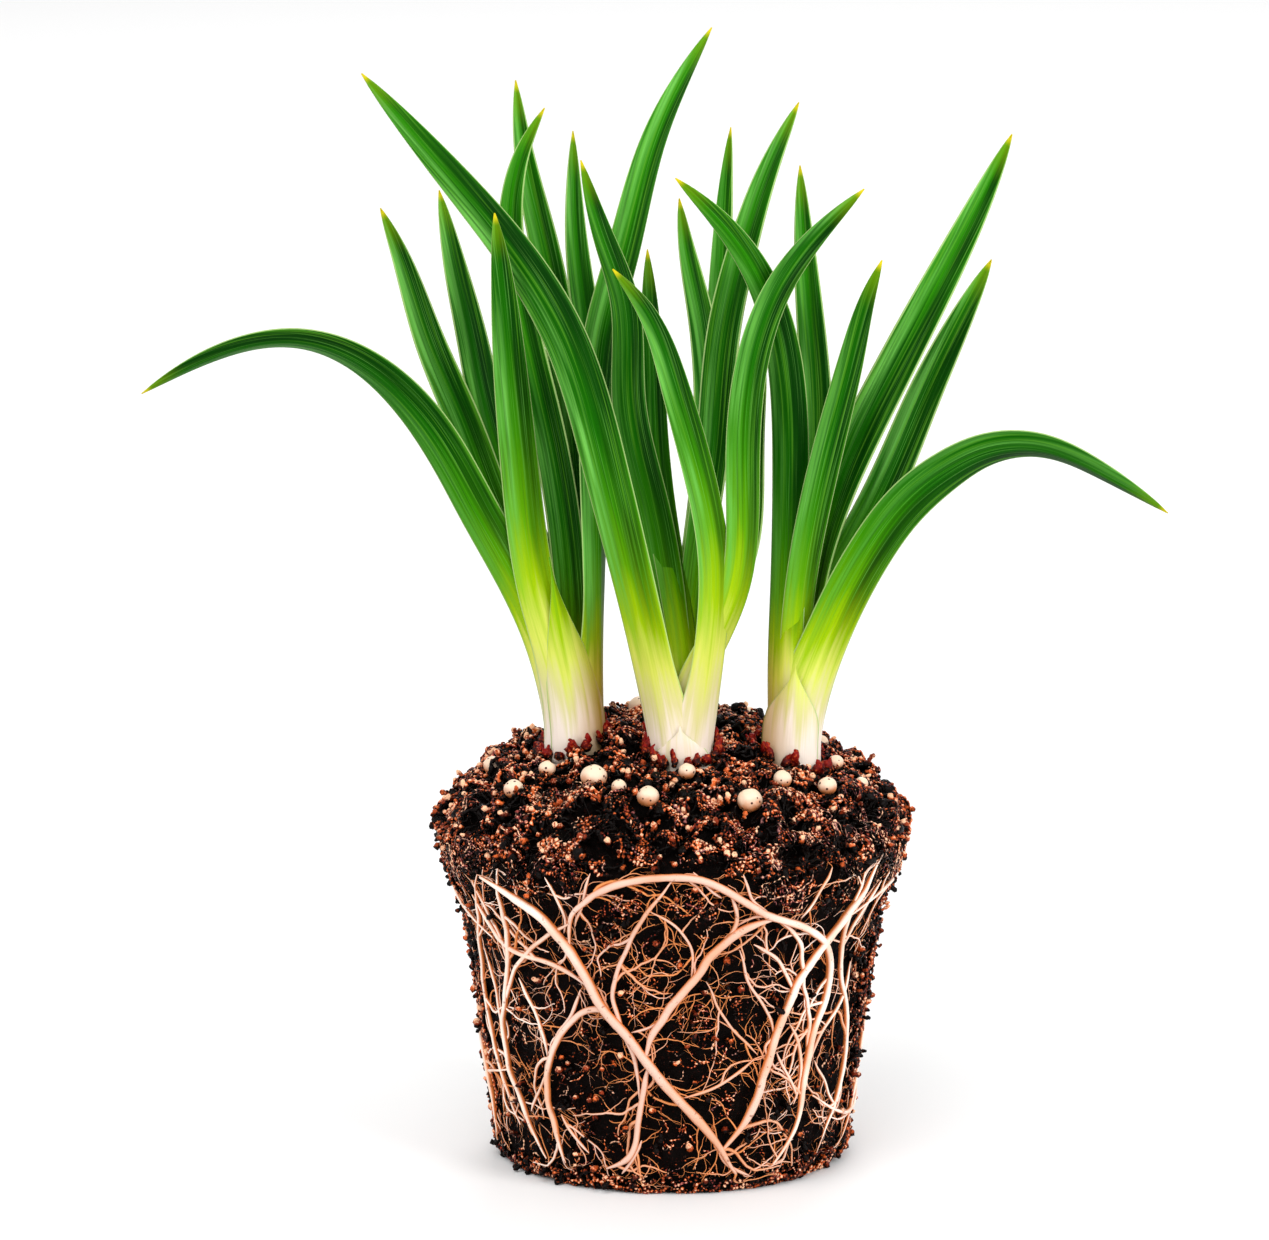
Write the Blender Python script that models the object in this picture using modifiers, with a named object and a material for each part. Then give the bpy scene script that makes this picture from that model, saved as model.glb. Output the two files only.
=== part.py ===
"""A spring onion clump on its pot-shaped ball of soil, standing as it came out of the pot.

Metres, +Z up. The origin is the middle of the soil's flat foot, and -Y is the front.
Sizes are written in millimetres and scaled by MM.
"""

import math
import random
from collections import namedtuple

import bmesh
import bpy
import numpy as np
from mathutils import Matrix, Vector

MM = 0.001
SEED = 7

# Soil: radius and height down its outline, from the top of the mound to the foot
SOIL_OUTLINE = (
    (0, 98.0), (9, 97.5), (17, 96.0), (24, 93.8), (31, 91.3), (37, 88.6), (42.5, 85.8), (47.5, 82.2),
    (50.6, 77.5), (51, 72), (49.6, 67), (47.6, 62.5), (46, 58), (45, 53), (44, 48), (43.2, 42.5), (42.4, 37),
    (41.6, 31.5), (40.9, 26), (40.2, 20.5), (39.6, 15), (39.1, 9.5), (38.6, 4.5), (36.5, 0), (20, 0), (0, 0),
)
SOIL_STEPS = 48
RIM_HEIGHT = 81.0
RIM_RADIUS = 47.5
MOUND_SET_BACK = 6.0
CRUMB_RELIEF = 1.3
KNOB_HEIGHT = 2.5
KNOB_SHARE = 0.4
ROOT_BERTH = 5.4
BEAD_BERTH = 4.0
STEM_BERTH = 11.0
GAP = 0.35

# Stems: where each stands on the ground plan, and the white shank that its leaves wrap
Stem = namedtuple("Stem", "name x y")
STEMS = (Stem("left", -21.5, -2.0), Stem("centre", 2.0, -14.0), Stem("right", 26.0, -6.0))
STEM_SIDES = 24
STEM_FOOT = 68.0
SHANK = ((0, 117), (2.6, 115.5), (4.4, 110), (5.6, 104), (6.2, 98), (6.2, 73), (5.0, 69.4), (0, STEM_FOOT))
HOLE_RADIUS = 7.6
HOLE_TOP = 112.0

# How a leaf leaves the shank: the radius and half angle of its wrap, its foot and collar heights,
# how far up from its foot the wrap has opened into the blade, and the shares of the blade's length
# between which it twists
Wrap = namedtuple("Wrap", "radius half_angle foot collar opens twists spacing across")
WRAPS = {
    "outer": Wrap(6.95, 96, 86, 93, 44, (0.20, 0.60), 9.5, 5),
    "second": Wrap(6.75, 92, 86, 93, 44, (0.50, 0.80), 9.0, 5),
    "third": Wrap(6.55, 88, 86, 93, 44, (0.20, 0.60), 9.5, 5),
    "inner": Wrap(5.1, 72, 98, 105, 26, (0.20, 0.60), 10.5, 3),
    "heart": Wrap(3.3, 62, 104, 110, 18, (0.20, 0.60), 10.5, 3),
}
BLADE_HALF_ANGLE = 38.0
BLADE_THICKNESS = 0.8
TIP_WIDTH = 0.9
TAPER_POWER = 5.0
TAPER_ROUND = 0.75

# Each leaf: its stem and wrap, the way its outer face looks round the stem (0 is the front,
# 90 the right), its width, its twist from foot to tip, the points that it passes, and its tip
Leaf = namedtuple("Leaf", "name stem wrap looks width twist via tip")
LEAVES = (
    Leaf("arch_left", "left", "second", -16, 9.6, -98, ((-32.5, -8, 127), (-43, -9, 147), (-52, -8, 163),
         (-61.5, -7, 174), (-71, -6.5, 180.5), (-81, -6, 183.5), (-99.5, -5, 180.5)), (-116, -4, 172)),
    Leaf("outer_left", "left", "inner", -122, 8.4, -42, ((-40.5, 2, 149), (-46, 4, 164), (-53.5, 6, 182),
         (-59.5, 7.5, 200)), (-64, 9, 211)),
    Leaf("back_left", "left", "inner", -158, 8.2, -14, ((-39.5, 7, 161), (-44.5, 15, 182), (-48, 21, 196)),
         (-51.5, 27, 212)),
    Leaf("front_left", "left", "outer", 4, 8.8, 6, ((-29, -9.8, 127), (-33, -11, 155), (-35.5, -16, 184),
         (-37, -20, 202)), (-38.5, -22, 215)),
    Leaf("crook", "left", "heart", -172, 7.6, -20, ((-28, 3, 167), (-34.5, 6, 198), (-35, 8, 213),
         (-32.5, 9, 224)), (-28, 10, 233)),
    Leaf("lean", "left", "inner", 168, 8.0, 16, ((-21, 8, 157), (-24.5, 14, 181), (-28.5, 19, 202),
         (-32.5, 22, 220)), (-34.5, 24, 237)),
    Leaf("tall", "left", "third", 62, 9.4, -35, ((-16, 1, 161), (-15, 3, 183), (-10.5, 4, 201),
         (-3.5, 6, 227)), (8.5, 8, 251)),
    Leaf("long_left", "centre", "outer", -28, 10.2, 24, ((-6.5, -20.8, 121), (-15, -24, 159),
         (-23, -20, 186), (-31, -15, 200), (-48, -10, 221)), (-67.5, -6, 243)),
    Leaf("front_right", "centre", "second", 30, 8.0, -14, ((9, -20.6, 121), (9.5, -22, 139),
         (6.5, -25, 157), (0.5, -30, 179), (-5.5, -33, 195)), (-13, -35, 205)),
    Leaf("far", "centre", "inner", -170, 7.6, 10, ((-15, 17, 156), (-19, 25, 180), (-21.5, 30, 200)),
         (-22, 35, 224)),
    Leaf("cross", "centre", "heart", -165, 8.0, 18, ((-5, -8, 149), (-9.5, -7, 171), (-10.5, -6, 193),
         (-15, -6, 207)), (-20, -6, 224)),
    Leaf("middle", "centre", "heart", 178, 7.0, -10, ((-3, -3, 153), (-4.5, 8, 182)), (-5.5, 14, 201)),
    Leaf("back_mid", "centre", "inner", 172, 7.4, 12, ((8, 4, 162), (6, 14, 187), (3, 19, 201)),
         (1.5, 22, 211)),
    Leaf("back_tall", "centre", "inner", 160, 7.4, -12, ((9.5, 8, 164), (11, 22, 188), (12, 30, 209)),
         (13, 34, 225)),
    Leaf("right_tall", "centre", "heart", 140, 8.4, 20, ((9.5, -6, 162), (11.5, -2, 185), (15.5, 1, 203),
         (20.5, 3, 219)), (27.5, 5, 235)),
    Leaf("hook_right", "centre", "inner", 34, 8.0, -24, ((13.5, -19, 129), (15.5, -20, 160),
         (18, -17, 184), (23, -14, 197), (32, -11, 209)), (41.5, -8, 218)),
    Leaf("short_back", "centre", "inner", 128, 7.0, 20, ((16.5, -5, 137), (18.5, 3, 160)), (20.5, 8, 176)),
    Leaf("cross_right", "right", "inner", -24, 8.4, 16, ((25.5, -5, 158), (24, -8, 181), (19, -10, 198),
         (10.5, -11, 211)), (0.5, -12, 221)),
    Leaf("upright", "right", "inner", 176, 7.4, 10, ((31.5, 5, 158), (30, 12, 188), (28.5, 16, 208)),
         (28, 18, 219)),
    Leaf("short_front", "right", "heart", 18, 7.2, -16, ((34, -10, 161), (39, -9, 181), (42.5, -7, 194)),
         (45.5, -6, 202)),
    Leaf("long_right", "right", "inner", 128, 9.2, 46, ((39, 0, 156), (49.5, 1, 179), (60, 3, 199),
         (67.5, 4, 214)), (74, 5, 228)),
    Leaf("outer_right", "right", "inner", 150, 8.8, 24, ((45.5, 8, 146), (56, 16, 169), (63, 20, 183)),
         (70.5, 24, 197)),
    Leaf("arch_right", "right", "second", 10, 10.4, 98, ((34, -11.5, 119), (44.5, -13, 140),
         (52, -14, 150), (60, -14.5, 156.5), (67.5, -15, 160.5), (79.5, -14.5, 161.5), (92, -13.5, 156.5)),
         (108, -12, 147)),
)

# Short outer sheaths: the old leaves' remains, which wrap a stem and end in a point
SHEATH_HALF_ANGLE = 62.0
Sheath = namedtuple("Sheath", "name stem looks radius tip")
SHEATHS = (
    Sheath("sheath_left", "left", 14, 7.1, (-27, -10.5, 137)),
    Sheath("sheath_right", "right", -4, 7.1, (27.6, -14.5, 115)),
)

# Feed beads on the front half of the mound: place on the ground plan, and diameter
FRONT_BEADS = (
    (-39.6, -1, 4.4), (-34.7, -21, 4.8), (-27.5, -16.5, 4.0), (-17.2, -26, 6.0), (-11.7, -30.5, 3.6),
    (-5.4, -35.5, 5.2), (3.1, -26, 4.0), (16.7, -35, 5.8), (23.9, -23.5, 4.4), (33.8, -20, 4.4),
    (36.0, -4, 3.6), (41.5, -10, 3.2),
)
BACK_BEADS = 7
BACK_BEAD_REACH = (14.0, 40.0)
BACK_BEAD_SIZES = (3.6, 5.6)
BEAD_SPACING = 9.0
BEAD_SUNK = 0.30

# Roots on the soil's wall: each route gives angles round the wall (0 is the front, positive to the
# right) and heights, and the root's greatest diameter
Root = namedtuple("Root", "name diameter route")
FRONT_ROOTS = (
    Root("diagonal", 2.5, ((-54, 70), (-38, 65), (-29, 57), (-21, 45), (-12, 36), (-2, 26), (12, 14),
         (20, 5))),
    Root("arch", 2.0, ((-29, 55), (-27, 63), (-20, 70), (-10, 74), (-1, 75), (8, 74), (17, 69), (27, 64),
         (38, 60), (48, 52), (49, 44), (45, 35), (43, 23), (41, 13), (33, 6))),
    Root("riser", 2.2, ((-8, 32), (-5, 39), (2, 47), (10, 56), (18, 62), (27, 64))),
    Root("right_sweep", 2.2, ((58, 72), (52, 62), (44, 55), (36, 46), (31, 36), (27, 25), (21, 15),
         (14, 10))),
    Root("left_fall", 1.5, ((-47, 73), (-49, 65), (-51, 53), (-56, 42), (-60, 29), (-55, 19), (-48, 10),
         (-44, 6))),
    Root("loop", 1.7, ((-14, 38), (-22, 43), (-29, 40), (-36, 34), (-41, 25), (-40, 15), (-36, 6))),
    Root("tap", 1.6, ((-7, 31), (-9, 25), (-11, 15), (-14, 9), (-21, 6))),
    Root("thread", 1.2, ((0, 74.5), (-6, 67), (-11, 60), (-15, 52), (-17, 45), (-14, 38), (-11, 29),
         (-10, 22))),
    Root("left_cross", 1.3, ((-63, 64), (-52, 54), (-34, 52), (-24, 48))),
    Root("left_bow", 1.2, ((-27, 63), (-40, 56), (-51, 47), (-58, 37))),
    Root("right_fall", 1.4, ((54, 71), (53, 60), (54, 49), (62, 36), (64, 22), (55, 9))),
    Root("right_inner", 1.2, ((27, 64), (36, 57), (39, 48), (43, 39), (44, 29))),
    Root("hook", 1.1, ((14, 71), (16, 66), (13, 58), (9, 54))),
    Root("left_edge", 1.2, ((-56, 70), (-67, 54), (-70, 41), (-67, 26), (-56, 12))),
)
# Behind, roots wander down the wall, leaning left and right in turn so that each crosses the next,
# and one root circles near the foot and ties them to the front ones
BACK_ROOTS = 8
BACK_ARC = (84, 276)
BACK_LEAN = 24.0
BACK_SWAY = 5.0
BACK_ROOT_SPAN = (66.0, 7.0)
BACK_ROOT_SIZES = (1.3, 2.2)
CIRCLING = Root("circling", 1.5, ((48, 20), (75, 12), (110, 17), (150, 11), (190, 16), (230, 12), (270, 18),
                                  (300, 24)))
UPPER_CIRCLING = Root("upper_circling", 1.5, ((50, 60), (80, 65), (115, 61), (155, 65), (200, 60), (245, 65),
                                              (280, 60), (302, 55)))
ROOT_STEP = 8.0
ROOT_TIP_SHARE = 0.45
THIN_ROOT = 1.55


def clear_scene():
    """Removes every object that the file opened with."""
    for obj in list(bpy.data.objects):
        bpy.data.objects.remove(obj, do_unlink=True)


def new_collection(name):
    """A collection in the scene."""
    made = bpy.data.collections.new(name)
    bpy.context.scene.collection.children.link(made)
    return made


def new_material(name, colour, roughness):
    """A plain Principled finish."""
    made = bpy.data.materials.new(name)
    made.use_nodes = True
    shader = made.node_tree.nodes["Principled BSDF"]
    shader.inputs["Base Color"].default_value = (*colour, 1.0)
    shader.inputs["Roughness"].default_value = roughness
    shader.inputs["Metallic"].default_value = 0.0
    return made


def add_object(name, data, collection):
    """A named object holding this mesh or curve."""
    obj = bpy.data.objects.new(name, data)
    collection.objects.link(obj)
    return obj


def applied_mesh(obj):
    """The object's mesh with its modifiers applied, in world space."""
    bpy.context.view_layer.update()
    graph = bpy.context.evaluated_depsgraph_get()
    mesh = bpy.data.meshes.new_from_object(obj.evaluated_get(graph), depsgraph=graph)
    mesh.transform(obj.matrix_world)
    return mesh


def finished_mesh(obj):
    """The object's mesh as applied, its doubled points joined and its faces turned outwards."""
    mesh = applied_mesh(obj)
    shape = bmesh.new()
    shape.from_mesh(mesh)
    bmesh.ops.remove_doubles(shape, verts=shape.verts, dist=0.01 * MM)
    bmesh.ops.recalc_face_normals(shape, faces=shape.faces)
    shape.to_mesh(mesh)
    shape.free()
    return mesh


def fill_pockets(mesh):
    """Removes the inner walls of sealed pockets, so that the solid is filled there."""
    shape = bmesh.new()
    shape.from_mesh(mesh)
    unseen = set(shape.faces)
    pockets = []
    while unseen:
        island = {unseen.pop()}
        edge_of_it = list(island)
        while edge_of_it:
            face = edge_of_it.pop()
            near = {other for edge in face.edges for other in edge.link_faces} & unseen
            unseen -= near
            island |= near
            edge_of_it.extend(near)
        volume = 0.0
        for face in island:
            corners = [vertex.co for vertex in face.verts]
            volume += sum(corners[0].dot(b.cross(c)) for b, c in zip(corners[1:], corners[2:]))
        if volume < 0:
            pockets.extend(island)
    bmesh.ops.delete(shape, geom=pockets, context="FACES")
    shape.to_mesh(mesh)
    shape.free()


def fuse(name, pieces, material, collection):
    """One solid from overlapping ones, by a Boolean union that is applied."""
    joined = bpy.data.collections.new(name + "_pieces")
    bpy.context.scene.collection.children.link(joined)
    first = pieces[0]
    for piece in pieces[1:]:
        for owner in list(piece.users_collection):
            owner.objects.unlink(piece)
        joined.objects.link(piece)
    union = first.modifiers.new("union", "BOOLEAN")
    union.operation = "UNION"
    union.operand_type = "COLLECTION"
    union.collection = joined
    union.solver = "MANIFOLD"
    mesh = applied_mesh(first)
    fill_pockets(mesh)
    for piece in pieces:
        bpy.data.objects.remove(piece, do_unlink=True)
    bpy.data.collections.remove(joined)
    mesh.materials.clear()
    mesh.materials.append(material)
    mesh.shade_smooth()
    mesh.set_sharp_from_angle(angle=math.radians(50))
    mesh.name = name
    return add_object(name, mesh, collection)


def turned(name, outline, steps, collection):
    """A solid turned about Z from an outline of radii and heights that runs from top to bottom."""
    mesh = bpy.data.meshes.new(name)
    points = [(radius * MM, 0, height * MM) for radius, height in outline]
    mesh.from_pydata(points, [(i, i + 1) for i in range(len(points) - 1)], [])
    obj = add_object(name, mesh, collection)
    screw = obj.modifiers.new("turn", "SCREW")
    screw.axis = "Z"
    screw.angle = math.tau
    screw.steps = steps
    screw.render_steps = steps
    screw.use_merge_vertices = True
    screw.merge_threshold = 0.01 * MM
    return obj


def smooth_line(knots, spacing):
    """Points spread evenly along the natural cubic spline through the knots, spacing apart at most."""
    knots = np.array(knots, float)
    spans = np.linalg.norm(np.diff(knots, axis=0), axis=1)
    places = np.concatenate([[0.0], np.cumsum(spans)])
    last = len(knots) - 1
    system = np.eye(last + 1)
    slopes = np.diff(knots, axis=0) / spans[:, None]
    turns = np.zeros_like(knots)
    for i in range(1, last):
        system[i, i - 1 : i + 2] = spans[i - 1], 2 * (spans[i - 1] + spans[i]), spans[i]
        turns[i] = 6 * (slopes[i] - slopes[i - 1])
    bends = np.linalg.solve(system, turns)
    fine = []
    for i in range(last):
        for share in np.linspace(0, 1, 24, endpoint=(i == last - 1)):
            a, b, span = (1 - share), share, spans[i]
            fine.append(
                a * knots[i] + b * knots[i + 1]
                + span**2 / 6 * ((a**3 - a) * bends[i] + (b**3 - b) * bends[i + 1])
            )
    fine = np.array(fine)
    run = np.concatenate([[0.0], np.cumsum(np.linalg.norm(np.diff(fine, axis=0), axis=1))])
    count = max(3, math.ceil(run[-1] / spacing) + 1)
    wanted = np.linspace(0, run[-1], count)
    return np.column_stack([np.interp(wanted, run, fine[:, k]) for k in range(3)]), run[-1]


def wall_radius(height):
    """The soil's radius at a height on its wall."""
    wall = [(z, r) for r, z in reversed(SOIL_OUTLINE) if 0 <= z <= RIM_HEIGHT + 1 and r > 30]
    return float(np.interp(height, [z for z, r in wall], [r for z, r in wall]))


def set_back(x, y):
    """How far back the mound leans at a place on it, for its top lies behind the middle."""
    return MOUND_SET_BACK * max(0.0, 1 - (math.hypot(x, y) / RIM_RADIUS) ** 2)


def mound_height(x, y):
    """The soil's height at a place on its mound."""
    top = [(r, z) for r, z in SOIL_OUTLINE if z >= RIM_HEIGHT]
    upright = y
    for _ in range(4):
        upright = y - set_back(x, upright)
    return float(np.interp(math.hypot(x, upright), [r for r, z in top], [z for r, z in top]))


def smooth_step(low, high, value):
    """0 below low, 1 above high, and a smooth rise between."""
    share = min(1.0, max(0.0, (value - low) / (high - low)))
    return share * share * (3 - 2 * share)


def around(degrees):
    """The level direction that an angle round the part looks in: 0 is the front, 90 the right."""
    angle = math.radians(degrees)
    return np.array([math.sin(angle), -math.cos(angle), 0.0])


def blade_frame(tangent, looks, twist):
    """A blade's outward and sideways directions where it runs along tangent."""
    outward = around(looks)
    outward = outward - outward.dot(tangent) * tangent
    outward /= np.linalg.norm(outward)
    outward = np.array(Matrix.Rotation(math.radians(twist), 3, Vector(tangent)) @ Vector(outward))
    return outward, np.cross(tangent, outward)


def blade_rows(line, across, looks, shape_at):
    """Rows of points over a blade's outer face.

    shape_at gives the blade's width, half angle and twist at a share of its length.
    """
    tangents = np.gradient(line, axis=0)
    tangents /= np.linalg.norm(tangents, axis=1)[:, None]
    rows = []
    for i, (point, tangent) in enumerate(zip(line, tangents)):
        share = i / (len(line) - 1)
        width, half_angle, twist = shape_at(share)
        outward, sideways = blade_frame(tangent, looks, twist)
        radius = width / 2 / math.sin(half_angle)
        centre = point - radius * outward
        rows.append([
            centre + radius * (math.cos(half_angle * side) * outward + math.sin(half_angle * side) * sideways)
            for side in np.linspace(-1, 1, across)
        ])
    return rows


def blade_object(name, rows, collection):
    """A blade from rows of points over its outer face: triangles alike on both faces, made solid inwards."""
    shape = bmesh.new()
    made = [[shape.verts.new(Vector(point) * MM) for point in row] for row in rows]
    for low, high in zip(made, made[1:]):
        for j in range(len(low) - 1):
            shape.faces.new((low[j], low[j + 1], high[j + 1]))
            shape.faces.new((low[j], high[j + 1], high[j]))
    mesh = bpy.data.meshes.new(name)
    shape.to_mesh(mesh)
    shape.free()
    obj = add_object(name, mesh, collection)
    solid = obj.modifiers.new("thickness", "SOLIDIFY")
    solid.thickness = BLADE_THICKNESS * MM
    solid.offset = -1
    mesh = finished_mesh(obj)
    bpy.data.objects.remove(obj, do_unlink=True)
    return add_object(name, mesh, collection)


def leaf_object(leaf, stem, collection):
    """A strap leaf: a wrap round the shank that opens into a channelled blade and tapers to a point."""
    wrap = WRAPS[leaf.wrap]
    out = around(leaf.looks) * wrap.radius
    foot = np.array([stem.x, stem.y, wrap.foot]) + out
    collar = np.array([stem.x, stem.y, wrap.collar]) + out
    line, length = smooth_line([foot, collar, *leaf.via, leaf.tip], wrap.spacing)
    wrap_width = 2 * wrap.radius * math.sin(math.radians(min(90, wrap.half_angle)))

    def shape_at(share):
        opened = smooth_step(2, wrap.opens, share * length)
        taper = (1 - share**TAPER_POWER) ** TAPER_ROUND
        half_angle = math.radians(wrap.half_angle + opened * (BLADE_HALF_ANGLE - wrap.half_angle))
        width = wrap_width + opened * (leaf.width * taper - wrap_width)
        return max(width, TIP_WIDTH), half_angle, leaf.twist * smooth_step(*wrap.twists, share)

    return blade_object(leaf.name, blade_rows(line, wrap.across, leaf.looks, shape_at), collection)


def sheath_object(sheath, stem, collection):
    """A short sheath that wraps the stem's front and ends in a point."""
    out = around(sheath.looks) * sheath.radius
    foot = np.array([stem.x, stem.y, 92.0]) + out
    collar = np.array([stem.x, stem.y, 99.0]) + out
    tip = np.array(sheath.tip, float)
    middle = collar + 0.55 * (tip - collar) + 0.4 * around(sheath.looks)
    line, length = smooth_line([foot, collar, middle, tip], 5.0)
    full = 2 * sheath.radius * math.sin(math.radians(SHEATH_HALF_ANGLE))

    def shape_at(share):
        narrowed = smooth_step(8, length, share * length)
        width = full * max(0.0, 1 - narrowed**1.4)
        half_angle = math.radians(SHEATH_HALF_ANGLE - 24 * narrowed)
        return max(width, TIP_WIDTH), half_angle, 0.0

    return blade_object(sheath.name, blade_rows(line, 5, sheath.looks, shape_at), collection)


def build_shoot(stem, material, collection):
    """A whole shoot as one solid: the shank, the leaves that wrap it and its old sheath."""
    shank = turned("shank_" + stem.name, SHANK, STEM_SIDES, collection)
    shank.location = (stem.x * MM, stem.y * MM, 0)
    mesh = finished_mesh(shank)
    bpy.data.objects.remove(shank, do_unlink=True)
    pieces = [add_object("shank_" + stem.name, mesh, collection)]
    pieces += [leaf_object(leaf, stem, collection) for leaf in LEAVES if leaf.stem == stem.name]
    pieces += [sheath_object(sheath, stem, collection) for sheath in SHEATHS if sheath.stem == stem.name]
    return fuse("shoot_" + stem.name, pieces, material, collection)


def back_roots(rng):
    """Roots behind, each leaning across the next as it wanders down the wall."""
    top, bottom = BACK_ROOT_SPAN
    found = []
    for i in range(BACK_ROOTS):
        start = BACK_ARC[0] + (BACK_ARC[1] - BACK_ARC[0]) * (i + 0.5) / BACK_ROOTS
        lean = BACK_LEAN * (1 if i % 2 else -1)
        route = []
        for step in range(6):
            share = step / 5
            angle = start + lean * (share - 0.5) * 2 + rng.uniform(-BACK_SWAY, BACK_SWAY)
            route.append((angle, top + (bottom - top) * share))
        found.append(Root(f"back_{i}", rng.uniform(*BACK_ROOT_SIZES), tuple(route)))
    return found


def root_line(root):
    """A root's centre line, lying on the wall with a small gap under it, and its radius at each point."""
    knots = []
    for degrees, height in root.route:
        reach = wall_radius(height) + GAP + root.diameter / 2
        knots.append(around(degrees) * reach + np.array([0, 0, height]))
    line, _ = smooth_line(knots, ROOT_STEP)
    radii = []
    for i, point in enumerate(line):
        share = i / (len(line) - 1)
        ends = min(1.0, 5 * min(share, 1 - share))
        radius = root.diameter / 2 * (ROOT_TIP_SHARE + (1 - ROOT_TIP_SHARE) * ends)
        reach = wall_radius(point[2]) + GAP + root.diameter / 2
        line[i, :2] *= reach / np.hypot(*point[:2])
        radii.append(radius)
    return line, radii


def root_object(root, line, radii, collection):
    """A root as a tube along its line."""
    curve = bpy.data.curves.new(root.name, "CURVE")
    curve.dimensions = "3D"
    curve.bevel_depth = MM
    curve.bevel_resolution = 1 if root.diameter > THIN_ROOT else 0
    curve.use_fill_caps = True
    spline = curve.splines.new("POLY")
    spline.points.add(len(line) - 1)
    for point, place, radius in zip(spline.points, line, radii):
        point.co = (*(place * MM), 1)
        point.radius = radius
    tube = add_object(root.name, curve, collection)
    mesh = finished_mesh(tube)
    bpy.data.objects.remove(tube, do_unlink=True)
    return add_object(root.name, mesh, collection)


def bead_places(rng):
    """Where each feed bead lies on the mound, and its diameter."""
    places = list(FRONT_BEADS)
    while len(places) < len(FRONT_BEADS) + BACK_BEADS:
        out = around(rng.uniform(95, 265)) * rng.uniform(*BACK_BEAD_REACH)
        near = [math.dist(out[:2], place[:2]) for place in places]
        near += [math.dist(out[:2], (stem.x, stem.y)) - 6 for stem in STEMS]
        if min(near) > BEAD_SPACING:
            places.append((float(out[0]), float(out[1]), rng.uniform(*BACK_BEAD_SIZES)))
    return places


def bead_object(name, place, scale, rng_turn, collection):
    """A small ball, sunk a little into the mound."""
    x, y, diameter = place
    shape = bmesh.new()
    bmesh.ops.create_icosphere(shape, subdivisions=2, radius=diameter / 2 * scale * MM)
    mesh = bpy.data.meshes.new(name)
    shape.to_mesh(mesh)
    shape.free()
    height = mound_height(x, y) + diameter / 2 * (1 - 2 * BEAD_SUNK)
    mesh.transform(Matrix.Rotation(rng_turn, 4, "X"))
    mesh.transform(Matrix.Translation(Vector((x, y, height)) * MM))
    mesh.shade_smooth()
    return add_object(name, mesh, collection)


def crumble(mesh, root_points, beads, rng):
    """Roughens the soil's wall and mound into crumbs, held in under the roots and round what stands in it."""
    for vertex in mesh.vertices:
        if vertex.co.z > RIM_HEIGHT * MM:
            vertex.co.y += set_back(vertex.co.x / MM, vertex.co.y / MM) * MM
    normals = [vertex.normal.copy() for vertex in mesh.vertices]
    for vertex, normal in zip(mesh.vertices, normals):
        place = np.array(vertex.co) / MM
        if place[2] < 0.5:
            continue
        lift = rng.uniform(-CRUMB_RELIEF, CRUMB_RELIEF)
        if rng.random() < KNOB_SHARE:
            lift = rng.uniform(0.5, 1.0) * KNOB_HEIGHT
        if np.linalg.norm(root_points - place, axis=1).min() < ROOT_BERTH:
            lift = -0.5 * abs(lift)
        if place[2] > RIM_HEIGHT and any(math.dist(place[:2], bead[:2]) < BEAD_BERTH for bead in beads):
            lift = min(lift, 0.0)
        if any(math.dist(place[:2], (stem.x, stem.y)) < STEM_BERTH for stem in STEMS):
            lift = min(lift, 0.5)
        vertex.co += normal * (lift * MM)


def build_soil(root_points, beads, cutters, material, collection):
    """The ball of soil, with a plain hole for each stem and a dimple for each bead."""
    blank = turned("soil_blank", SOIL_OUTLINE, SOIL_STEPS, collection)
    mesh = finished_mesh(blank)
    bpy.data.objects.remove(blank, do_unlink=True)
    crumble(mesh, root_points, beads, random.Random(SEED))
    mesh.materials.append(material)
    mesh.name = "soil"
    soil = add_object("soil", mesh, collection)
    cut = soil.modifiers.new("holes", "BOOLEAN")
    cut.operation = "DIFFERENCE"
    cut.operand_type = "COLLECTION"
    cut.collection = cutters
    cut.solver = "EXACT"
    return soil


def as_cutter(obj):
    """Keeps a cutter out of the render."""
    obj.hide_render = True
    obj.display_type = "WIRE"


def stem_cutter(stem, cutters):
    """A plain round hole for a stem, from just under its foot to clear above the soil."""
    bottom = STEM_FOOT - 0.4
    bpy.ops.mesh.primitive_cylinder_add(
        vertices=STEM_SIDES,
        radius=HOLE_RADIUS * MM,
        depth=(HOLE_TOP - bottom) * MM,
        location=(stem.x * MM, stem.y * MM, (HOLE_TOP + bottom) / 2 * MM),
    )
    cutter = bpy.context.object
    cutter.name = "hole_" + stem.name
    for owner in list(cutter.users_collection):
        owner.objects.unlink(cutter)
    cutters.objects.link(cutter)
    as_cutter(cutter)


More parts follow.
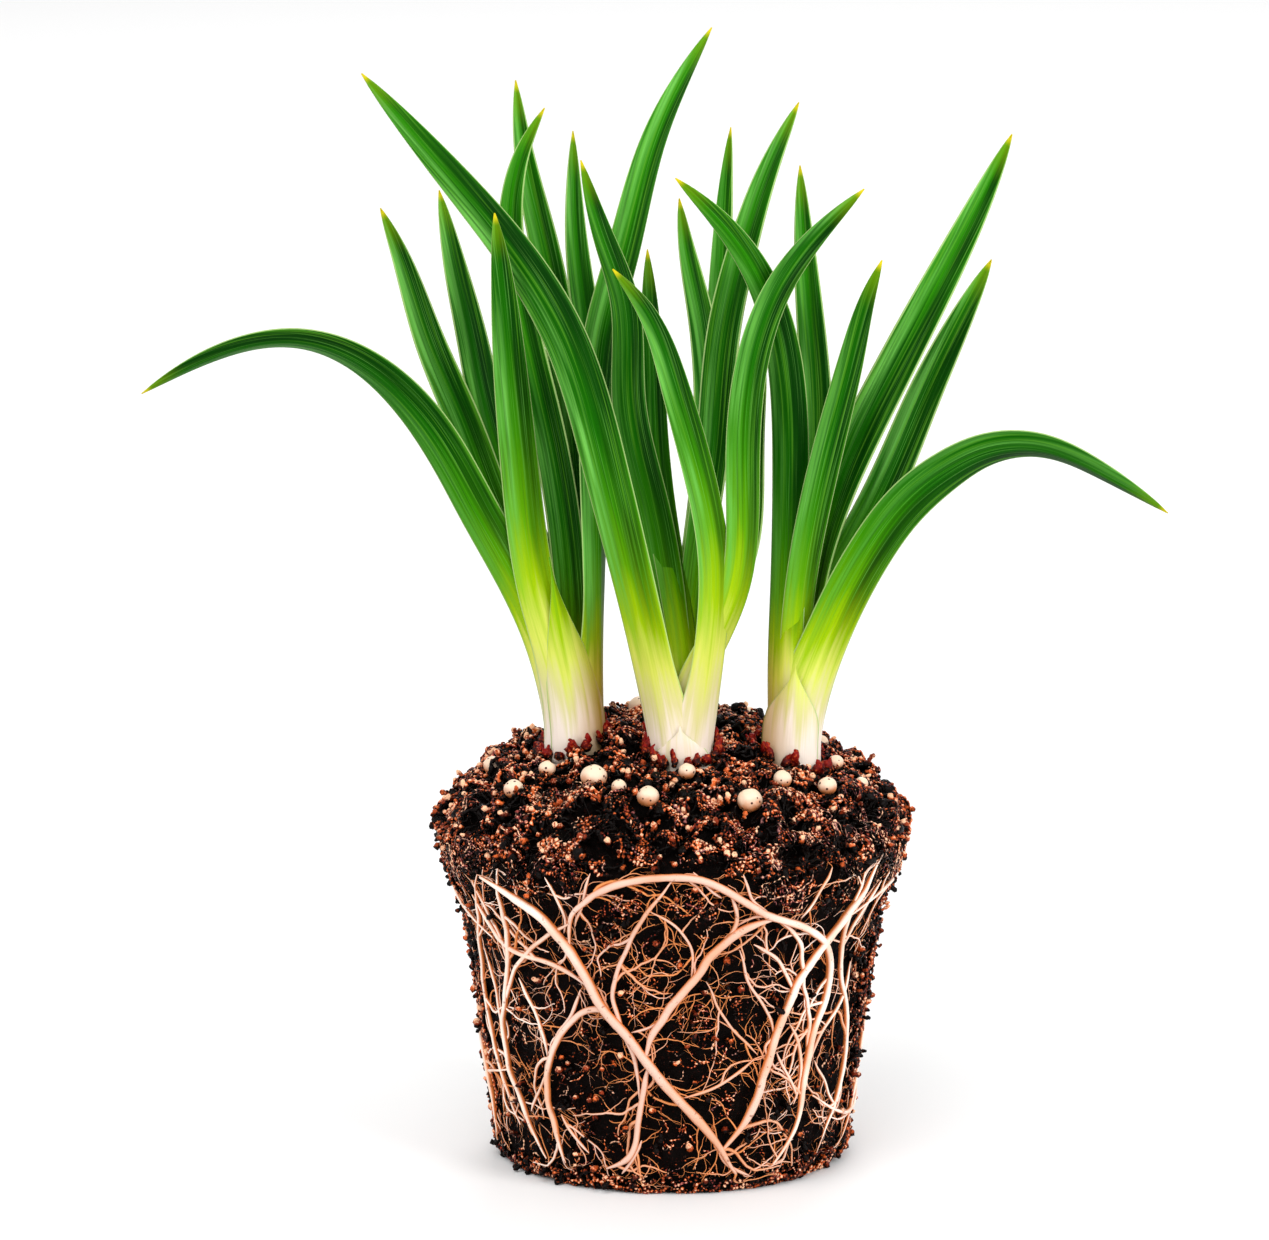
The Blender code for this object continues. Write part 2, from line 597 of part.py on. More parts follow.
def main():
    clear_scene()
    plant = new_collection("spring_onion_clump")
    cutters = new_collection("cutters")
    leaf_green = new_material("leaf", (0.10, 0.30, 0.03), 0.38)
    soil_brown = new_material("soil", (0.045, 0.018, 0.010), 0.95)
    root_cream = new_material("root", (0.80, 0.56, 0.38), 0.55)
    bead_cream = new_material("feed_bead", (0.82, 0.64, 0.42), 0.5)

    for stem in STEMS:
        build_shoot(stem, leaf_green, plant)
        stem_cutter(stem, cutters)

    rng = random.Random(SEED)
    roots = [*FRONT_ROOTS, CIRCLING, UPPER_CIRCLING, *back_roots(rng)]
    lines = [root_line(root) for root in roots]
    tubes = [root_object(root, *line, plant) for root, line in zip(roots, lines)]
    fuse("root_net", tubes, root_cream, plant)

    beads = bead_places(rng)
    for i, place in enumerate(beads):
        turn = rng.uniform(0, math.tau)
        bead = bead_object(f"feed_bead_{i + 1:02d}", place, 1.0, turn, plant)
        bead.data.materials.append(bead_cream)
        room = 1 + 2 * (GAP + 0.15) / place[2]
        as_cutter(bead_object(f"dimple_{i + 1:02d}", place, room, turn, cutters))

    root_points = np.concatenate([line for line, _ in lines])
    build_soil(root_points, beads, cutters, soil_brown, plant)


main()
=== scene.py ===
"""The looks of a spring onion clump on its pot-shaped ball of soil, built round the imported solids.

Metres, +Z up. Sizes are written in millimetres and scaled by MM. -Y is the front.
"""

import math
import random
from collections import namedtuple

import bmesh
import bpy
import numpy as np
from mathutils import Matrix, Vector


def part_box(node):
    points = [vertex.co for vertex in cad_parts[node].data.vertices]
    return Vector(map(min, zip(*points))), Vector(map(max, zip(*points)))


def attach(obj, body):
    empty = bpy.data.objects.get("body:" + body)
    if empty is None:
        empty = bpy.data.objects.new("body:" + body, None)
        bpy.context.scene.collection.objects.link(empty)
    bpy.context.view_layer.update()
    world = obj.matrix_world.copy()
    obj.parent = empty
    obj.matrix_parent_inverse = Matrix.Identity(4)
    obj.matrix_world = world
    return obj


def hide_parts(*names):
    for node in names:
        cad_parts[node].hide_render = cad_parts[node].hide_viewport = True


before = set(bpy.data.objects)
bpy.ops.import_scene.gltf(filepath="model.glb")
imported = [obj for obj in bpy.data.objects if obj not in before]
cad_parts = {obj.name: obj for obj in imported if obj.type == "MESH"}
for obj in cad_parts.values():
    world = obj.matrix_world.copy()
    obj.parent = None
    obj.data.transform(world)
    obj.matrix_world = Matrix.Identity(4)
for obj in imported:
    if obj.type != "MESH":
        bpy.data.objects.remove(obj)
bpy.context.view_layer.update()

MM = 0.001
SEED = 7

# Soil: radius and height down its outline, from the top of the mound to the foot
SOIL_OUTLINE = (
    (0, 98.0), (9, 97.5), (17, 96.0), (24, 93.8), (31, 91.3), (37, 88.6), (42.5, 85.8), (47.5, 82.2),
    (50.6, 77.5), (51, 72), (49.6, 67), (47.6, 62.5), (46, 58), (45, 53), (44, 48), (43.2, 42.5),
    (42.4, 37), (41.6, 31.5), (40.9, 26), (40.2, 20.5), (39.6, 15), (39.1, 9.5), (38.6, 4.5),
    (36.5, 0), (20, 0), (0, 0),
)
# The wall is what lies under the rim and further out than WALL_FROM. The mound's top is set back.
RIM_HEIGHT = 81.0
RIM_RADIUS = 47.5
MOUND_SET_BACK = 6.0
CORE_SUNK = 1.1
CORE_TURNS = 260
CORE_STEP = 0.9
WALL_FROM = 30.0
GAP = 0.35
WAVE_COUNT = 14

# Stems: where each stands, the side on which its neighbours shade it (1 is the right), and the white
# shank that its leaves wrap
Stem = namedtuple("Stem", "name x y shaded")
STEMS = (Stem("left", -21.5, -2.0, 1), Stem("centre", 2.0, -14.0, 0), Stem("right", 26.0, -6.0, -1))
STEM_FOOT = 68.0
STEM_TOP = 98.0
SHANK = ((0, 108), (2.6, 107), (4.4, 104.5), (5.6, 101), (6.2, 97), (6.2, 73), (5.0, 69.4), (0, STEM_FOOT))
SHANK_SIDES = 48
SHANK_LEVELS = 40
STEM_BERTH = 7.7
STEM_HOLLOW = 1.5
STEM_HALF = 6.5

# How a leaf leaves the shank: the radius and half angle of its wrap, its foot and collar heights,
# how far up from its foot the wrap has opened into the blade, and the shares of the blade's length
# between which it twists. White is the height up to which the leaf stays white.
Wrap = namedtuple("Wrap", "radius half_angle foot collar opens twists white", defaults=[STEM_TOP])
WRAPS = {
    "outer": Wrap(6.95, 96, 86, 93, 38, (0.20, 0.60)),
    "second": Wrap(6.75, 92, 86, 93, 38, (0.50, 0.85)),
    "outer_low": Wrap(6.95, 96, 80, 87, 38, (0.20, 0.60)),
    "second_low": Wrap(6.75, 92, 80, 87, 38, (0.50, 0.85)),
    "third": Wrap(6.55, 88, 86, 93, 44, (0.20, 0.60)),
    "front": Wrap(6.05, 62, 87, 94, 34, (0.20, 0.60), 86.0),
    "front_heart": Wrap(4.6, 62, 98, 104, 22, (0.20, 0.60), 88.0),
    "inner": Wrap(5.1, 72, 98, 105, 26, (0.20, 0.60)),
    "heart": Wrap(3.3, 62, 104, 110, 18, (0.20, 0.60)),
}
BLADE_HALF_ANGLE = 38.0
BLADE_THICKNESS = 0.8
MARGIN_SHARE = 0.35
BLADE_ACROSS = 17
BLADE_STEP = 1.6
TIP_WIDTH = 0.3
TIP_THIN = 0.35
TIP_THINS_OVER = 14.0
TAPER_POWER = 5.0
TAPER_ROUND = 0.75
FOLD_SHARE = 0.5
GRAIN_SHIFT = 9.7
# The strength of the painted sheen on the shanks and sheaths
SHANK_PAINTED_SHEEN = 0.2
NO_TIP = 999.0

# Each leaf: its stem and wrap, the way its outer face looks round the stem (0 is the front,
# 90 the right), its width, its twist from foot to tip, how quickly it greens with height, how strong
# the painted sheen on its pale flank is, the points that it passes, and its tip
Leaf = namedtuple("Leaf", "name stem wrap looks width twist greens pale via tip")
LEAVES = (
    Leaf("arch_left", "left", "second", -16, 9.6, -50, 1.1, 0.3, ((-32.5, -8, 127), (-43, -9, 147),
         (-52, -8, 163), (-61.5, -7, 174), (-71, -6.5, 180.5), (-81, -6, 183.5), (-99.5, -5, 180.5)),
         (-116, -4, 172)),
    Leaf("outer_left", "left", "inner", -122, 8.4, -42, 1.05, 0.8, ((-40.5, 2, 149), (-46, 4, 164),
         (-53.5, 6, 182), (-59.5, 7.5, 200)), (-64, 9, 211)),
    Leaf("back_left", "left", "inner", -158, 8.2, -14, 1.1, 0.8, ((-39.5, 7, 161), (-44.5, 15, 182),
         (-48, 21, 196)), (-51.5, 27, 212)),
    Leaf("front_left", "left", "outer", 4, 8.8, 6, 0.8, 1.0, ((-29, -9.8, 127), (-33, -11, 155),
         (-35.5, -16, 184), (-37, -20, 202)), (-38.5, -22, 215)),
    Leaf("crook", "left", "heart", -172, 7.6, -20, 1.6, 0.45, ((-28, 3, 167), (-34.5, 6, 198),
         (-35, 8, 213), (-32.5, 9, 224)), (-28, 10, 233)),
    Leaf("lean", "left", "inner", 168, 8.0, 16, 1.6, 0.6, ((-21, 8, 157), (-24.5, 14, 181),
         (-28.5, 19, 202), (-32.5, 22, 220)), (-34.5, 24, 237)),
    Leaf("tall", "left", "third", 62, 9.4, -35, 1.35, 0.9, ((-16, 1, 161), (-15, 3, 183), (-10.5, 4, 201),
         (-3.5, 6, 227)), (8.5, 8, 251)),
    Leaf("long_left", "centre", "outer_low", -28, 10.2, 24, 1.0, 0.9, ((-6.5, -20.8, 121), (-15, -24, 159),
         (-23, -20, 186), (-31, -15, 200), (-48, -10, 221)), (-67.5, -6, 243)),
    Leaf("front_right", "centre", "second_low", 30, 8.0, -14, 0.84, 1.0, ((9, -20.6, 121), (9.5, -22, 139),
         (6.5, -25, 157), (0.5, -30, 179), (-5.5, -33, 195)), (-13, -35, 205)),
    Leaf("far", "centre", "inner", -170, 7.6, 10, 1.35, 0.8, ((-15, 17, 156), (-19, 25, 180),
         (-21.5, 30, 200)), (-22, 35, 224)),
    Leaf("cross", "centre", "front", -14, 8.0, 18, 1.0, 0.3, ((-5, -8, 149), (-9.5, -7, 171),
         (-10.5, -6, 193), (-15, -6, 207)), (-20, -6, 224)),
    Leaf("middle", "centre", "front_heart", 24, 7.0, -10, 0.9, 0.6, ((-3, -3, 153), (-4.5, 8, 182)),
         (-5.5, 14, 201)),
    Leaf("back_mid", "centre", "inner", 172, 7.4, 12, 1.35, 0.6, ((8, 4, 162), (6, 14, 187), (3, 19, 201)),
         (1.5, 22, 211)),
    Leaf("back_tall", "centre", "inner", 160, 7.4, -12, 1.35, 0.8, ((9.5, 8, 164), (11, 22, 188),
         (12, 30, 209)), (13, 34, 225)),
    Leaf("right_tall", "centre", "heart", 140, 8.4, 20, 1.25, 0.7, ((9.5, -6, 162), (11.5, -2, 185),
         (15.5, 1, 203), (20.5, 3, 219)), (27.5, 5, 235)),
    Leaf("hook_right", "centre", "inner", 34, 8.0, -24, 0.85, 0.8, ((13.5, -19, 129), (15.5, -20, 160),
         (18, -17, 184), (23, -14, 197), (32, -11, 209)), (41.5, -8, 218)),
    Leaf("short_back", "centre", "inner", 128, 7.0, 20, 1.1, 0.6, ((16.5, -5, 137), (18.5, 3, 160)),
         (20.5, 8, 176)),
    Leaf("cross_right", "right", "inner", -24, 8.4, 16, 1.3, 0.4, ((25.5, -5, 158), (24, -8, 181),
         (19, -10, 198), (10.5, -11, 211)), (0.5, -12, 221)),
    Leaf("upright", "right", "inner", 176, 7.4, 10, 1.4, 0.7, ((31.5, 5, 158), (30, 12, 188),
         (28.5, 16, 208)), (28, 18, 219)),
    Leaf("short_front", "right", "heart", 18, 7.2, -16, 1.15, 0.5, ((34, -10, 161), (39, -9, 181),
         (42.5, -7, 194)), (45.5, -6, 202)),
    Leaf("long_right", "right", "inner", 128, 9.2, 46, 1.35, 0.7, ((39, 0, 156), (49.5, 1, 179),
         (60, 3, 199), (67.5, 4, 214)), (74, 5, 228)),
    Leaf("outer_right", "right", "inner", 150, 8.8, 24, 1.4, 0.7, ((45.5, 8, 146), (56, 16, 169),
         (63, 20, 183)), (70.5, 24, 197)),
    Leaf("arch_right", "right", "second", 10, 10.4, 50, 1.3, 0.3, ((34, -11.5, 119), (44.5, -13, 140),
         (52, -14, 150), (60, -14.5, 156.5), (67.5, -15, 160.5), (79.5, -14.5, 161.5), (92, -13.5, 156.5)),
         (108, -12, 147)),
)

# Short outer sheaths: the old leaves' remains, which wrap a stem and end in a point
SHEATH_THICKNESS = 0.3
SHEATH_COLLAR = 6.0
SHEATH_DRY = 20.0
SHEATH_STEP = 1.2
SHEATH_NARROWS_FROM = 8.0
SHEATH_ROUND = 1.4
SHEATH_CLOSES = 24.0
Sheath = namedtuple("Sheath", "name stem looks radius half_angle foot greens tip")
SHEATHS = (
    Sheath("sheath_left", "left", 14, 7.1, 62, 90, 1.0, (-27, -10.5, 137)),
    Sheath("sheath_centre", "centre", 0, 7.12, 58, 85, 0.4, (1.6, -21.2, 101.5)),
    Sheath("sheath_right", "right", -4, 7.05, 62, 89, 1.1, (27.0, -13.6, 114)),
)

# Roots on the soil's wall: angles round the wall (0 is the front, positive to the right) with
# heights, and the root's greatest diameter
Root = namedtuple("Root", "name diameter route")
FRONT_ROOTS = (
    Root("diagonal", 2.5, ((-54, 70), (-38, 65), (-29, 57), (-21, 45), (-12, 36), (-2, 26), (12, 14),
         (20, 5))),
    Root("arch", 2.0, ((-29, 55), (-27, 63), (-20, 70), (-10, 74), (-1, 75), (8, 74), (17, 69), (27, 64),
         (38, 60), (48, 52), (49, 44), (45, 35), (43, 23), (41, 13), (33, 6))),
    Root("riser", 2.2, ((-8, 32), (-5, 39), (2, 47), (10, 56), (18, 62), (27, 64))),
    Root("right_sweep", 2.2, ((58, 72), (52, 62), (44, 55), (36, 46), (31, 36), (27, 25), (21, 15),
         (14, 10))),
    Root("left_fall", 1.5, ((-47, 73), (-49, 65), (-51, 53), (-56, 42), (-60, 29), (-55, 19), (-48, 10),
         (-44, 6))),
    Root("loop", 1.7, ((-14, 38), (-22, 43), (-29, 40), (-36, 34), (-41, 25), (-40, 15), (-36, 6))),
    Root("tap", 1.6, ((-7, 31), (-9, 25), (-11, 15), (-14, 9), (-21, 6))),
    Root("thread", 1.2, ((0, 74.5), (-6, 67), (-11, 60), (-15, 52), (-17, 45), (-14, 38), (-11, 29),
         (-10, 22))),
    Root("left_cross", 1.3, ((-63, 64), (-52, 54), (-34, 52), (-24, 48))),
    Root("left_bow", 1.2, ((-27, 63), (-40, 56), (-51, 47), (-58, 37))),
    Root("right_fall", 1.4, ((54, 71), (53, 60), (54, 49), (62, 36), (64, 22), (55, 9))),
    Root("right_inner", 1.2, ((27, 64), (36, 57), (39, 48), (43, 39), (44, 29))),
    Root("hook", 1.1, ((14, 71), (16, 66), (13, 58), (9, 54))),
    Root("left_edge", 1.2, ((-56, 70), (-67, 54), (-70, 41), (-67, 26), (-56, 12))),
)
# Finer roots in front that follow the photo
FINE_ROOTS = (
    Root("thread_a", 0.7, ((9, 50), (16, 40), (26, 32))),
    Root("thread_b", 0.8, ((3, 23), (15, 26), (25, 31))),
    Root("thread_c", 0.7, ((-6, 67), (1, 63), (5, 57), (5, 50))),
    Root("thread_d", 0.7, ((-12, 38), (-5, 40), (-1, 43))),
    Root("left_twig_a", 1.0, ((-49, 47), (-44, 41), (-41, 35), (-40, 30))),
    Root("left_twig_b", 1.0, ((-27, 47), (-31, 40), (-36, 35), (-39, 30))),
    Root("left_twig_c", 0.8, ((-42, 26), (-45, 22), (-50, 16))),
    Root("left_twig_d", 0.9, ((-60, 68), (-57, 60), (-53, 53), (-52, 48))),
    Root("left_twig_e", 0.9, ((-65, 51), (-62, 43), (-61, 35), (-60, 26))),
    Root("right_twig_a", 1.0, ((22, 58), (28, 55), (33, 50), (37, 45))),
    Root("right_twig_b", 0.8, ((18, 57), (23, 47), (29, 40), (31, 35))),
    Root("right_twig_c", 1.0, ((36, 38), (41, 31), (42, 24), (40, 19))),
    Root("right_twig_d", 1.0, ((60, 49), (57, 40), (49, 34), (46, 28))),
    Root("right_twig_e", 1.0, ((65, 67), (62, 63), (57, 57), (54, 53))),
    Root("right_twig_f", 0.8, ((48, 28), (55, 21), (64, 14))),
    Root("right_twig_g", 0.8, ((32, 32), (38, 25), (42, 20))),
    Root("foot_twig_a", 0.8, ((-37, 17), (-33, 13), (-27, 9))),
    Root("foot_twig_b", 0.9, ((-10, 13), (-12, 9), (-16, 5))),
    Root("foot_twig_c", 0.9, ((14, 12), (18, 7), (25, 4))),
    Root("top_twig_a", 0.8, ((5, 76), (8, 73), (12, 70))),
    Root("top_twig_b", 0.8, ((17, 75), (19, 70), (24, 66))),
    Root("top_twig_c", 0.8, ((42, 74), (38, 67), (35, 63))),
    Root("top_twig_d", 0.8, ((-33, 73), (-29, 67), (-30, 60))),
    Root("top_twig_e", 0.8, ((-20, 75), (-23, 68), (-26, 62))),
)
# Behind, roots wander down the wall, leaning left and right in turn so that each crosses the next,
# and two roots circle the wall
BACK_ROOTS = 8
BACK_ARC = (84, 276)
BACK_LEAN = 24.0
BACK_SWAY = 5.0
BACK_ROOT_SPAN = (66.0, 7.0)
BACK_ROOT_SIZES = (1.3, 2.2)
CIRCLING_ROOTS = (
    Root("circling", 1.5, ((48, 20), (75, 12), (110, 17), (150, 11), (190, 16), (230, 12), (270, 18),
         (300, 24))),
    Root("upper_circling", 1.5, ((50, 60), (80, 65), (115, 61), (155, 65), (200, 60), (245, 65),
         (280, 60), (302, 55))),
)
ROOT_STEP = 0.8
ROOT_SIDES = 12
ROOT_TIP_SHARE = 0.3
ROOT_SLIM = 0.86
ROOT_SWAY = 0.35
ROOT_SWELL = 0.07
DOME_SHARE = 0.7

# Side roots, in four sizes: how many, the cell of wall that may hold one fork, radius at the fork, ring
# count, ring spacing, how far they stand off the wall, how many sides round, and the share that is tan
SideRoots = namedtuple("SideRoots", "name count cell radius rings spacing lift sides tan")
SIDE_ROOTS = (
    SideRoots("side_roots", 160, 8.0, (0.3, 0.47), 24, 0.85, 0.75, 8, 0.1),
    SideRoots("rootlets", 480, 4.6, (0.16, 0.27), 15, 0.7, 0.55, 6, 0.4),
    SideRoots("root_threads", 1300, 2.8, (0.1, 0.16), 10, 0.55, 0.4, 5, 0.7),
    SideRoots("root_hairs", 2200, 1.9, (0.07, 0.11), 6, 0.5, 0.3, 4, 0.9),
)
FORK_ANGLE = (0.5, 0.95)
BACKWARDS_SHARE = 0.3
SIDE_ROOT_SPAN = (1.5, 77.5)
WANDER = 0.2
RIM_STEER = 0.25
RIM_STEER_FROM = 69.0
FOOT_STEER = 0.1
FOOT_STEER_FROM = 6.0
MIDDLE_ARC = 22.0
MIDDLE_TAN = 0.45
ROOT_BERTH = 0.35
BURIED_ARC = (74, 108)

# The chart of where main roots lie: a column for each degree, which is DEGREE_LONG millimetres on the
# wall, and ROWS_TO_MM rows for each millimetre of height
DEGREE_LONG = 0.8
CHART_ROWS = 180
ROWS_TO_MM = 2

# Dark red scales round each stem's foot
SCALES = 21
SCALE_OUTLINE = np.array([0.8, 1.0, 1.0, 0.85, 0.7, 0.5, 0.2])
SCALE_SIDES = 8
SCALE_RING = (7.8, 8.6)
SCALE_HEIGHTS = (1.6, 3.2)

# Crumbs. The mound and rim are thick with them and pitted, and the wall is thinly strewn. Places are
# distances down the outline.
RIM_END = 60.0
WALL_START = 54.0
FOOT_RUN = 137.6
PIT_DEPTH = 2.6
PIT_FOLLOWED = 0.6
# How much painted shade darkens the crumbs in a pit
PIT_PAINTED_SHADE = 0.4
FLOOR_GAP = 0.02
BEAD_BERTH = 0.35
BEAD_SQUASH = np.array([1.0, 1.0, 0.94])
# Where the crumbs' painted light comes from, added to each one's outward way: the sides that face it are
# painted lit
LIT_FROM = np.array([0, 0, 0.8])

# Chains of grains: how many, where, rings in each, ring spacing, the grains' radii, how far they stand
# off, sides, the stretch of crumb colours, and the angles to both sides of the front that they lie in
ALL_ROUND = (0, 180)
Chains = namedtuple("Chains", "name count runs rings spacing radius lift sides tints arc",
                    defaults=[ALL_ROUND])
CHAINS = (
    Chains("mound_chains", 1150, (1, 47), 11, 0.52, (0.4, 0.66), (-0.2, 0.9), 6, (0.0, 0.9)),
    Chains("rim_chains", 1150, (41, RIM_END), 11, 0.5, (0.36, 0.6), (-0.2, 0.8), 6, (0.0, 0.92)),
    Chains("fine_mound_chains", 1500, (1, 48), 9, 0.36, (0.18, 0.32), (0.3, 1.3), 5, (0.25, 1.0)),
    Chains("fine_rim_chains", 1700, (42, RIM_END + 9), 9, 0.36, (0.16, 0.3), (0.2, 1.1), 5, (0.25, 1.0)),
    Chains("rim_fibres", 300, (38, RIM_END + 8), 17, 0.6, (0.12, 0.2), (0.5, 1.2), 5, (0.84, 1.0),
           (22, 80)),
    Chains("upper_wall_chains", 1900, (WALL_START, 96), 7, 0.42, (0.12, 0.24), (-0.15, 0.3), 5,
           (0.3, 1.0)),
    Chains("lower_wall_chains", 1900, (90, FOOT_RUN), 7, 0.42, (0.12, 0.24), (-0.15, 0.3), 5,
           (0.3, 1.0)),
    Chains("flank_chains", 800, (RIM_END - 8, FOOT_RUN), 9, 0.5, (0.36, 0.62), (-0.1, 1.1), 6, (0.1, 0.8),
           (74, 108)),
    Chains("foot_chains", 650, (FOOT_RUN - 6, FOOT_RUN + 1), 9, 0.45, (0.3, 0.5), (-0.1, 0.5), 6,
           (0.0, 0.9)),
)
# Single grains, described as the chains are, but with lift as a share of each one's radius
Grains = namedtuple("Grains", "name count runs radius lift tints arc", defaults=[ALL_ROUND])
GRAINS = (
    Grains("crumb_lumps", 330, (1, RIM_END + 2), (0.8, 1.6), (-0.6, 0.2), (0.0, 0.55)),
    Grains("mound_grains", 2200, (1, RIM_END + 4), (0.26, 0.62), (0.0, 1.3), (0.0, 1.0)),
    Grains("wall_knobs", 70, (RIM_END, FOOT_RUN), (0.5, 0.9), (-0.4, 0.1), (0.0, 0.5)),
    Grains("wall_grains", 1700, (RIM_END - 4, FOOT_RUN), (0.13, 0.33), (-0.2, 0.9), (0.3, 1.0)),
)
# Knobbly stubs that stand out of the soil, described as the chains are, but with their lengths
Spurs = namedtuple("Spurs", "name count runs lengths radii tints arc")
SPURS = (
    Spurs("soil_spurs", 900, (20, FOOT_RUN), (1.4, 3.4), (0.42, 0.8), (0.0, 0.7), ALL_ROUND),
    Spurs("flank_spurs", 230, (RIM_END - 6, FOOT_RUN), (1.0, 2.8), (0.5, 1.0), (0.2, 0.75), (76, 104)),
)
SPUR_RINGS = 7
SPUR_SIDES = 7

# Colours, each as a paint chart gives it
LEAF_SHADE = (0, 36, 0)
LEAF_DEEP = (14, 80, 0)
LEAF_TOP = (34, 114, 2)
LEAF_MID = (18, 90, 0)
LEAF_GRASS = (48, 120, 0)
LEAF_FRESH = (84, 144, 0)
LEAF_SPRING = (146, 180, 2)
LEAF_PALE = (200, 208, 88)
STEM_PALE = (208, 202, 146)
STEM_WHITE = (232, 219, 206)
STEM_SHADE = (206, 168, 104)
# Pale blue-green for the painted sheen on each leaf's flank towards the light, and for the fine fibres
LEAF_SHEEN_AND_FIBRE = (116, 194, 84)
LEAF_MARGIN = (176, 206, 128)
LEAF_STREAK = (84, 148, 34)
TIP_GREEN = (104, 146, 4)
TIP_YELLOW = (206, 188, 26)
# Near black: the soil's own dark colour with the painted shade of its hollows
CORE_BLACK = (7, 3, 2)
# Near black: the painted shade on the crumbs and scales
CRUMB_BLACK = (8, 3, 2)
CRUMB_DARK = (58, 16, 8)
CRUMB_BROWN = (148, 52, 22)
CRUMB_ORANGE = (234, 108, 48)
CRUMB_RUST = (170, 48, 26)
CRUMB_VIOLET = (146, 90, 90)
# Pale tan: one of the crumbs' own tints, and the painted glints on their brightest tops
CRUMB_TAN_AND_GLINT = (255, 198, 158)
SCALE_RED = (124, 8, 4)
ROOT_CREAM = (255, 238, 224)
ROOT_PINK = (224, 186, 168)
ROOT_TAN = (218, 138, 80)
# Orange: the painted shade on each root's flanks
ROOT_ORANGE_SHADE = (210, 116, 54)
ROOT_NICK = (120, 56, 28)
BEAD_CREAM = (236, 206, 180)
# Peach: the painted shade on each bead's lower side
BEAD_PEACH_SHADE = (200, 120, 68)
BEAD_DOT = (70, 34, 20)
FLOOR_WHITE = (236, 236, 236)

# The leaf's colours at their heights in millimetres, and the crumbs' colours at their shares
LEAF_STOPS = (
    (84, STEM_WHITE), (97, STEM_WHITE), (105, STEM_PALE), (114, LEAF_PALE), (124, LEAF_SPRING),
    (137, LEAF_FRESH), (152, LEAF_GRASS), (170, LEAF_MID), (190, LEAF_DEEP), (210, LEAF_DEEP),
    (232, LEAF_TOP),
)
CRUMB_STOPS = (
    (0.0, CRUMB_DARK), (0.25, CRUMB_BROWN), (0.45, CRUMB_ORANGE), (0.58, CRUMB_BROWN), (0.7, CRUMB_ORANGE),
    (0.8, CRUMB_RUST), (0.91, CRUMB_VIOLET), (1.0, CRUMB_TAN_AND_GLINT),
)

# The camera looks from the front and a little above, through a long lens
VIEW_TARGET = (-8.35, 0.0, 120.7)
VIEW_RISE = 12.0
VIEW_DISTANCE = 2000.0
VIEW_WIDTH = 279.2
SENSOR_WIDTH = 36.0

# The floor and the lights, in metres: where each light stands, its size and its power
FLOOR_SIZE = 12.0
SKY_STRENGTH = 0.7
LIT_MIDDLE = (0, 0, 0.12)
LIGHTS = {
    "key_light": ((-0.8, -1.5, 1.8), 2.0, 39),
    "side_light": ((1.4, -1.2, 1.0), 1.0, 23),
    "back_light": ((0.2, 1.5, 1.5), 1.0, 14),
}


def paint(colour):
    """A paint chart's colour, 0 to 255, as linear light."""
    shares = [level / 255 for level in colour]
    return tuple(s / 12.92 if s <= 0.04045 else ((s + 0.055) / 1.055) ** 2.4 for s in shares) + (1.0,)


class Tone:
    """A value inside a finish. Arithmetic on it adds the nodes that work it out."""

    def __init__(self, finish, socket):
        self.finish = finish
        self.socket = socket

    def math(self, operation, *values):
        """The outcome of one Math node."""
        return self.finish.node("ShaderNodeMath", {"operation": operation}, *values)

    def __add__(self, other):
        return self.math("ADD", self, other)

    def __sub__(self, other):
        return self.math("SUBTRACT", self, other)

    def __rsub__(self, other):
        return self.math("SUBTRACT", other, self)

    def __mul__(self, other):
        return self.math("MULTIPLY", self, other)

    def __abs__(self):
        return self.math("ABSOLUTE", self)

    __radd__ = __add__
    __rmul__ = __mul__

    def rise(self, low, high):
        """0 below low, 1 above high, and a smooth rise between. High may be the lower number."""
        return self.finish.node(
            "ShaderNodeMapRange", {"interpolation_type": "SMOOTHSTEP"}, self, low, high, 0.0, 1.0)


